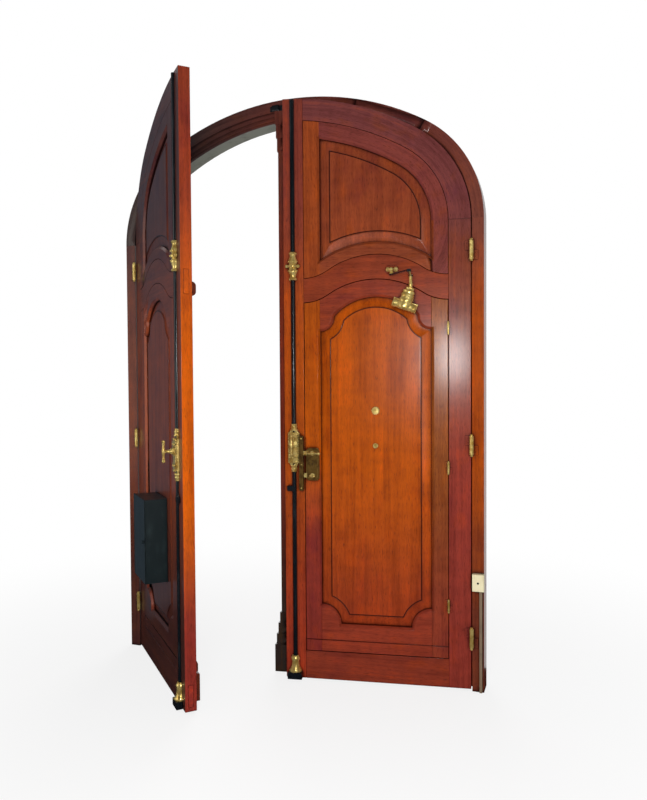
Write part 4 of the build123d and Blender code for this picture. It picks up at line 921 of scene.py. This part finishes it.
def hingeHalf(name, kind, side, body, node, towards, upward, finish):
    size, look = hinges[kind], hingeLook
    half, flags = Fitting(side), Fitting(side)
    radius, reach = size["radius"], size["half"] - look["gap"]
    barrel = barrelShape(radius, reach)
    for height in size["heights"]:
        half.lathe(barrel, (size["x"], -size["stand"], height), (0, 0, upward))
        left, right = sorted((size["x"], size["x"] + towards * size["flag"]))
        foot, top = sorted((height + upward * look["flagGap"], height + upward * reach))
        flags.plate(boxOutline(left, right, foot, top), -size["thick"], 0, look["flagEdge"])
        aside = size["x"] + towards * size["flag"] * look["screwAside"]
        for share in look["screwShares"]:
            spot = (aside, -size["thick"] + look["screwSink"], height + upward * reach * share)
            flags.screw(spot, radius * look["screwShare"])
    half.finish(name, body, metal("brass"), [node], "brass")
    flags.finish(name + "Flags", body, finish, [node], "mahogany")


# Each half: name, size, side, body, node, which way its flag goes, up or down, tone and place of its wood
# The flags on the left jamb and the left leaf take their darker tones: painted shade
hingeHalves = [
    ("leftFrameHinges", "main", "frameLeft", "frame", "left_frame_hinges", 1, -1, "jambLeft", "frame"),
    ("rightFrameHinges", "main", "frame", "frame", "right_frame_hinges", 1, -1, "jamb", "frame"),
    ("leftLeafHinges", "main", "left", "left_leaf", "left_leaf_hinges", -1, 1, "leftFace", "left"),
    ("rightLeafHinges", "main", "right", "right_leaf", "right_leaf_hinges", -1, 1, "hangStile", "right"),
    (
        "wicketFrameHinges", "wicket", "right", "right_leaf", "wicket_frame_hinges", 1, -1,
        "hangStile", "right",
    ),
    ("wicketLeafHinges", "wicket", "right", "wicket", "wicket_leaf_hinges", -1, 1, "wicketHinge", "right"),
]
for *half, tone, woodSide in hingeHalves:
    hingeHalf(*half, mahogany(tone, "up", woodSide))
print("hinges done")

# Lock of the wicket
lock = {
    "near": 0.129, "far": 0.195, "foot": 1.007, "top": 1.167, "deep": 0.022, "corner": 0.009,
    "rimFront": 0.016, "rimEdge": 0.002, "inset": 0.006, "innerCorner": 0.008, "innerBack": 0.012,
    "innerEdge": 0.0025, "screwAside": 0.0125, "screwInset": 0.0145, "screwRadius": 0.0042,
    "screwSink": 0.0002, "plateHeight": 1.088, "plateHalf": (0.009, 0.017), "plateSteps": 24,
    "plateRise": 0.0022, "plateSink": 0.001, "plateEdge": 0.0008, "holeHeight": 1.091,
    "holeRadius": 0.0028, "holeSteps": 14, "holeRise": 0.0026,
    "slotHalf": 0.0012, "slotFoot": 1.080, "slotTop": 1.090,
    "lever": 1.142, "turn": 1.032, "roseGap": 0.0001, "spindleBack": 0.0035, "spindleFront": 0.001,
    "spindleRadius": 0.0058, "gripRise": 0.013, "gripSteps": 18, "gripReach": 0.034, "gripBall": 0.008,
    "wingRise": 0.002, "wingRadius": 0.009, "wingStretch": (1.65, 0.55, 0.42), "tipAside": 0.011,
    "tipRadius": 0.0045, "tipStretch": (0.9, 0.9, 1.0),
}
keepLook = {"x": 0.1055, "depth": 0.0199, "heights": (0.968, 1.085, 1.214), "radius": 0.004}
roseShape = [
    (0, 0), (0.0118, 0), (0.0120, 0.0016), (0.0105, 0.0036), (0.0070, 0.0046), (0.0058, 0.0075),
    (0.0062, 0.010), (0, 0.013),
]
leverShape = [
    (0, -0.034), (0.0044, -0.034), (0.0040, -0.022), (0.0050, -0.014), (0.0044, -0.009), (0.0056, 0.0),
    (0.0044, 0.009), (0.0050, 0.014), (0.0040, 0.022), (0.0044, 0.034), (0, 0.034),
]
lockMiddle = (lock["near"] + lock["far"]) / 2


def lockCase():
    front, inset = -lock["deep"], lock["inset"]
    near, far, foot, top = lock["near"], lock["far"], lock["foot"], lock["top"]
    case = Fitting("right")
    case.plate(hollowOutline(near, far, foot, top, lock["corner"]), -lock["rimFront"], 0, lock["rimEdge"])
    inner = hollowOutline(near + inset, far - inset, foot + inset, top - inset, lock["innerCorner"])
    case.plate(inner, front, -lock["innerBack"], lock["innerEdge"])
    for x in (near + lock["screwAside"], far - lock["screwAside"]):
        for z in (foot + lock["screwInset"], top - lock["screwInset"]):
            case.screw((x, front + lock["screwSink"], z), lock["screwRadius"])
    keyPlate = ovalOutline(lockMiddle, lock["plateHeight"], *lock["plateHalf"], lock["plateSteps"])
    case.plate(keyPlate, front - lock["plateRise"], front + lock["plateSink"], lock["plateEdge"])
    case.finish("lockCase", "wicket", metal("dullBrass"), ["lock_case"], "brass")
    # Painted shade: the keyhole is a thin dark plate standing in for the hole
    hole = Fitting("right")
    radius = lock["holeRadius"]
    eye = ovalOutline(lockMiddle, lock["holeHeight"], radius, radius, lock["holeSteps"])
    slot = boxOutline(
        lockMiddle - lock["slotHalf"], lockMiddle + lock["slotHalf"], lock["slotFoot"], lock["slotTop"],
    )
    for outline in (eye, slot):
        hole.plate(outline, front - lock["holeRise"], front, 0.0)
    hole.finish("lockKeyhole", "wicket", paint("darkHole"), [], "black_iron")


def roseAndSpindle(height):
    front = -lock["deep"]
    fitting = Fitting("right")
    fitting.lathe(roseShape, (lockMiddle, front - lock["roseGap"], height), towardsRoom)
    back = (lockMiddle, front + lock["spindleBack"], height)
    fitting.bar(back, (lockMiddle, front - lock["spindleFront"], height), lock["spindleRadius"])
    return fitting


def lockHandles():
    depth = -lock["deep"] - lock["gripRise"]
    lever = roseAndSpindle(lock["lever"])
    lever.lathe(leverShape, (lockMiddle, depth, lock["lever"]), (1, 0, 0), lock["gripSteps"])
    for step in (-1, 0, 1):
        lever.ball((lockMiddle + step * lock["gripReach"], depth, lock["lever"]), lock["gripBall"])
    lever.finish("lockLever", "lever", metal("brass"), ["lock_lever"], "brass")
    turn = roseAndSpindle(lock["turn"])
    wing = depth - lock["wingRise"]
    turn.ball((lockMiddle, wing, lock["turn"]), lock["wingRadius"], lock["wingStretch"])
    for edge in (-1, 1):
        tip = (lockMiddle + edge * lock["tipAside"], wing, lock["turn"])
        turn.ball(tip, lock["tipRadius"], lock["tipStretch"])
    turn.finish("thumbTurn", "thumb_turn", metal("brass"), ["thumb_turn"], "brass")


def keepScrews():
    screws = Fitting("right")
    for height in keepLook["heights"]:
        screws.screw((keepLook["x"], -keepLook["depth"], height), keepLook["radius"])
    screws.finish("keepScrews", "right_leaf", metal("brass"), [], "brass")


lockCase()
lockHandles()
eased("latch_bolt", "right", [metal("brass")], easing["bolt"])
eased("dead_bolt", "right", [metal("brass")], easing["bolt"])
eased("lock_keep", "right", [metal("dullBrass")], easing["bolt"])
keepScrews()
print("lock done")

# Door closer: its body is made upright about the drum, then tilted on the wicket
closer = {
    "x": 0.617, "height": 1.862, "tilt": 20.0, "stand": 0.024, "post": 0.6478, "postSteps": 20,
    "plateHalf": (0.061, 0.022), "plateFront": 0.006, "plateEdge": 0.0018, "drumSteps": 32,
    "drumStretch": (1.4, 1, 1), "tubeStart": (0.024, -0.018, -0.004), "tubeStretch": (1, 1.1, 1.35),
    "capRise": 0.0195, "capRadius": 0.0075, "knob": (0.026, -0.020, 0.030), "knobRadius": 0.0085,
    "knobStretch": (0.85, 0.9, 2.1), "stem": (0.010, -0.020, 0.030), "stemRadius": 0.0045,
    "screws": ((-0.052, 0.014), (0.052, 0.014), (-0.052, -0.016), (0.052, -0.016)), "screwDepth": 0.0058,
    "screwRadius": 0.0036, "armScrewHeight": 2.0018, "armScrewSteps": 18,
}
bracketLook = {
    "pad": (0.5295, 0.5835, 2.018, 2.052), "padFront": 0.006, "padEdge": 0.0016, "x": 0.5565,
    "stalkHeight": 2.028, "stalkFront": 0.034, "stalkRadius": 0.0095, "bossFoot": 2.0094, "steps": 20,
    "ballDepth": 0.040, "ballHeight": 2.030, "ballRadius": 0.0105, "ballStretch": (1, 0.7, 1),
    "domes": (0.5385, 0.5755), "domeDepth": 0.0055, "domeHeight": 2.035,
}
drumShape = [
    (0, -0.020), (0.0185, -0.020), (0.0220, -0.016), (0.0230, -0.010), (0.0230, 0.006), (0.0212, 0.009),
    (0.0212, 0.013), (0.0232, 0.016), (0.0232, 0.024), (0.0214, 0.028), (0.0206, 0.034), (0.0206, 0.040),
    (0.0226, 0.043), (0.0232, 0.047), (0.0226, 0.052), (0.0205, 0.055), (0.0200, 0.060), (0.0214, 0.063),
    (0.0214, 0.068), (0.0160, 0.071), (0.0140, 0.076), (0.0150, 0.079), (0.0150, 0.084), (0.0110, 0.088),
    (0, 0.090),
]
tubeShape = [
    (0, 0), (0.0150, 0), (0.0150, 0.006), (0.0136, 0.009), (0.0136, 0.016), (0.0150, 0.019), (0.0150, 0.028),
    (0.0125, 0.033), (0.0100, 0.035), (0, 0.0355),
]
postShape = [
    (0, 1.924), (0.0080, 1.924), (0.0080, 1.952), (0.0095, 1.955), (0.0095, 1.962), (0.0075, 1.966),
    (0.0075, 1.988), (0.0080, 1.9905), (0.0080, 1.9955), (0.0050, 1.9955), (0.0050, 2.0019), (0, 2.0019),
]
bossShape = [
    (0, 0), (0.0085, 0), (0.010, 0.0015), (0.010, 0.008), (0.0088, 0.011), (0.010, 0.015), (0.0095, 0.024),
    (0.006, 0.0275), (0, 0.0285),
]
domeShape = [(0, 0), (0.0115, 0), (0.012, 0.003), (0.0105, 0.008), (0.0065, 0.0115), (0, 0.0125)]
armScrewShape = [(0, 0), (0.0085, 0), (0.0088, 0.0012), (0.0080, 0.003), (0.0045, 0.0042), (0, 0.0045)]


def closerBody():
    body = Fitting("right")
    stand = closer["stand"]
    wide, high = closer["plateHalf"]
    body.plate(boxOutline(-wide, wide, -high, high), -closer["plateFront"], 0, closer["plateEdge"])
    body.lathe(drumShape, (0, -stand, 0), steps=closer["drumSteps"], stretch=closer["drumStretch"])
    tubeX, tubeY, tubeZ = closer["tubeStart"]
    for edge in (-1, 1):
        body.lathe(tubeShape, (edge * tubeX, tubeY, tubeZ), (edge, 0, 0), stretch=closer["tubeStretch"])
    body.screw((0, -stand - closer["capRise"], 0), closer["capRadius"])
    body.ball(closer["knob"], closer["knobRadius"], closer["knobStretch"])
    body.bar(closer["stem"], closer["knob"], closer["stemRadius"])
    for x, z in closer["screws"]:
        body.screw((x, -closer["screwDepth"], z), closer["screwRadius"])
    tilt = Matrix.Rotation(math.radians(closer["tilt"]), 4, "Y")
    place = Matrix.Translation((closer["x"], 0, closer["height"])) @ tilt
    bmesh.ops.transform(body.mesh, matrix=place, verts=body.mesh.verts)
    body.lathe(postShape, (closer["post"], -stand, 0), steps=closer["postSteps"])
    body.finish("closerBody", "wicket", metal("brass"), ["closer_body"], "brass")


# The pad under the bracket is varnished over with the rail
def closerBracket():
    look = bracketLook
    x, front, steps = look["x"], -look["stalkFront"], look["steps"]
    pad = Fitting("right")
    pad.plate(boxOutline(*look["pad"]), -look["padFront"], 0, look["padEdge"])
    padWood = mahogany("midRail", "across", "right")
    pad.finish("closerPad", "right_leaf", padWood, ["closer_bracket"], "mahogany")
    bracket = Fitting("right")
    bracket.bar((x, 0, look["stalkHeight"]), (x, front, look["stalkHeight"]), look["stalkRadius"])
    bracket.lathe(bossShape, (x, front, look["bossFoot"]), steps=steps)
    bracket.ball((x, -look["ballDepth"], look["ballHeight"]), look["ballRadius"], look["ballStretch"])
    for domeX in look["domes"]:
        bracket.lathe(domeShape, (domeX, -look["domeDepth"], look["domeHeight"]), towardsRoom, steps)
    bracket.finish("closerBracket", "right_leaf", metal("brass"), ["closer_bracket"], "brass")


def closerArmScrew():
    screw = Fitting("right")
    spot = (closer["post"], -closer["stand"], closer["armScrewHeight"])
    screw.lathe(armScrewShape, spot, steps=closer["armScrewSteps"])
    screw.finish("closerArmScrew", "closer_arm", metal("steel"), [], "brass")


closerBody()
closerBracket()
eased("closer_arm", "right", [paint("blackIron")], easing["iron"])
eased("closer_link", "right", [paint("blackIron")], easing["iron"])
closerArmScrew()
print("closer done")

# Pull handle, letter box, contact box
contactLook = {"x": 0.9645, "z": 0.533, "holeRadius": 0.0054, "holeFront": -0.0279}


# Painted shade: the faces inside the contact box's hole take the dark finish
def contactHole(point, normal):
    reach = math.hypot(point.x - contactLook["x"], point.z - contactLook["z"])
    return 1 if reach < contactLook["holeRadius"] and point.y > contactLook["holeFront"] else 0


pullSmooth = meshCare["fittingSmooth"]
eased("wicket_pull", "right", [metal("brass")], easing["pull"], smooth=pullSmooth)
eased("letter_box", "left", [paint("boxPaint")], easing["letterBox"])
eased("letter_box_door", "left", [paint("boxPaint")], easing["letterBox"])
contactFinishes = [paint("creamPlastic"), paint("darkHole")]
eased("contact_box", "frame", contactFinishes, easing["plastic"], contactHole)
print("small fittings done")

# Stage: floor, lamps, world and camera
stageLook = {
    "floorSize": 14.0, "floorDrop": 0.0005, "floorShade": (0.86, 0.86, 0.86, 1.0),
    "floorFade": (0.6, 3.4, 0.80, 1.0), "white": (1, 1, 1, 1), "worldFill": 0.28,
}
# Each lamp: power, width, height, place, what it faces
lamps = {
    "key": (95.0, 1.2, 1.2, (1.30, -3.62, 1.72), (0.2, 0.0, 1.5)),
    "glint": (20.0, 0.16, 0.36, (1.44, -3.62, 1.72), (0.2, 0.0, 1.5)),
    "rear": (120.0, 2.6, 2.2, (-1.2, 4.4, 3.2), (0.0, 0.2, 1.4)),
}
hiddenLamps = ("key",)  # lamps that reflections don't show
# Cards that only reflections see: centre, what they face, width, height, shade
darkCard = (0.012, 0.012, 0.014, 1.0)
cards = {
    "cardBehind": ((0.6, -6.5, 2.2), (0.0, 0.0, 1.6), 13.0, 6.0, darkCard),
    "cardLeft": ((-5.5, 1.6, 2.2), (-0.6, -0.4, 1.6), 9.0, 6.0, (0.09, 0.125, 0.16, 1.0)),
    "cardRight": ((6.2, -2.6, 2.2), (0.4, 0.0, 1.6), 9.0, 6.0, darkCard),
    "cardAbove": ((0.3, -2.6, 5.4), (0.3, -2.6, 0.0), 13.0, 8.0, darkCard),
    "cardFloor": ((0.0, -3.0, 0.003), (0.0, -3.0, 2.0), 14.0, 6.6, darkCard),
    "cardFloorLeft": ((-3.6, 2.1, 0.003), (-3.6, 2.1, 2.0), 6.8, 3.8, (0.08, 0.11, 0.14, 1.0)),
    "cardRear": ((-0.8, 3.2, 3.0), (0.6, 0.0, 2.8), 3.2, 1.8, darkCard),
    "glowRight": ((3.7, -4.8, 1.9), (0.2, 0.0, 1.4), 0.9, 3.0, (3.4, 3.3, 3.0, 1.0)),
    "glowLeft": ((-2.9, -3.9, 1.9), (0.0, 0.0, 1.4), 0.9, 3.0, (2.4, 2.3, 2.1, 1.0)),
}


def stagePlane(name, size, place):
    mesh = bmesh.new()
    bmesh.ops.create_grid(mesh, x_segments=1, y_segments=1, size=size)
    bmesh.ops.transform(mesh, matrix=place, verts=mesh.verts)
    data = bpy.data.meshes.new(name)
    mesh.to_mesh(data)
    mesh.free()
    plane = bpy.data.objects.new(name, data)
    bpy.context.scene.collection.objects.link(plane)
    material, recipe = newFinish(name)
    data.materials.append(material)
    return plane, recipe


def buildFloor():
    floor, recipe = stagePlane("studioFloor", stageLook["floorSize"], Matrix())
    floor.location = (0, 0, -stageLook["floorDrop"])
    coords = recipe.add("TexCoord", None, None, "Object")
    distance = recipe.add("VectorMath", {"operation": "LENGTH"}, {0: coords}, "Value")
    path = recipe.add("LightPath")
    seen = recipe.larger(path.out("Is Camera Ray"), path.out("Is Glossy Ray"))
    share = seen * recipe.smooth(distance, *stageLook["floorFade"])
    matt = recipe.add("BsdfDiffuse", None, {"Color": stageLook["floorShade"]})
    white = recipe.add("Emission", None, {"Color": stageLook["white"], "Strength": 1.0})
    mixed = recipe.add("MixShader", None, {0: share, 1: matt, 2: white})
    recipe.add("OutputMaterial", None, {"Surface": mixed})


def reflectionCard(name, centre, target, width, height, shade):
    aim = (Vector(target) - Vector(centre)).to_track_quat("Z", "Y").to_matrix().to_4x4()
    place = Matrix.Translation(centre) @ aim @ Matrix.Diagonal((width, height, 1, 1))
    card, recipe = stagePlane(name, 0.5, place)
    glow = recipe.add("Emission", None, {"Color": shade, "Strength": 1.0})
    recipe.add("OutputMaterial", None, {"Surface": glow})
    card.visible_camera = False
    card.visible_diffuse = False
    card.visible_shadow = False
    card.visible_transmission = False


def buildLamp(name, power, wide, high, centre, target):
    data = bpy.data.lights.new(name, "AREA")
    data.shape = "RECTANGLE"
    data.size = wide
    data.size_y = high
    data.energy = power
    light = bpy.data.objects.new(name, data)
    bpy.context.scene.collection.objects.link(light)
    light.location = centre
    light.rotation_euler = (Vector(target) - Vector(centre)).to_track_quat("-Z", "Y").to_euler()
    light.visible_glossy = name not in hiddenLamps


def buildWorld():
    world = bpy.data.worlds.new("studio")
    bpy.context.scene.world = world
    world.use_nodes = True
    recipe = Recipe(world.node_tree)
    path = recipe.add("LightPath")
    seen = recipe.larger(path.out("Is Camera Ray"), path.out("Is Glossy Ray"))
    seen = recipe.larger(seen, path.out("Is Transmission Ray"))
    fill = recipe.add("Background", None, {"Color": stageLook["white"], "Strength": stageLook["worldFill"]})
    white = recipe.add("Background", None, {"Color": stageLook["white"], "Strength": 1.0})
    mixed = recipe.add("MixShader", None, {0: seen, 1: fill, 2: white})
    recipe.add("OutputWorld", None, {"Surface": mixed})
    world.cycles.sampling_method = "NONE"  # so that the cards hide the world from every reflection


# The camera of the photograph: angles in degrees, focal length in pixels of an 800-pixel long side
cameraLook = {
    "place": (1.4081, -3.4473, 1.5), "yaw": 19.57, "pitch": -1.54, "roll": -0.37, "focal": 715.36,
    "longSide": 800.0, "sensor": 36.0,
}


def buildCamera():
    look = cameraLook
    yaw, pitch, roll = (math.radians(look[name]) for name in ("yaw", "pitch", "roll"))
    ahead = Vector((-math.sin(yaw) * math.cos(pitch), math.cos(yaw) * math.cos(pitch), math.sin(pitch)))
    right = Vector((math.cos(yaw), math.sin(yaw), 0))
    above = right.cross(ahead)
    across = right * math.cos(roll) + above * math.sin(roll)
    upright = above * math.cos(roll) - right * math.sin(roll)
    data = bpy.data.cameras.new("photoCamera")
    data.sensor_fit = "AUTO"
    data.sensor_width = look["sensor"]
    data.lens = look["focal"] / look["longSide"] * look["sensor"]
    camera = bpy.data.objects.new("photoCamera", data)
    bpy.context.scene.collection.objects.link(camera)
    turn = Matrix((across, upright, -ahead)).transposed().to_4x4()
    camera.matrix_world = Matrix.Translation(look["place"]) @ turn
    bpy.context.scene.camera = camera


buildFloor()
for name, card in cards.items():
    reflectionCard(name, *card)
for name, lamp in lamps.items():
    buildLamp(name, *lamp)
buildWorld()
buildCamera()
bpy.context.scene.view_settings.view_transform = "Standard"
print("stage done")
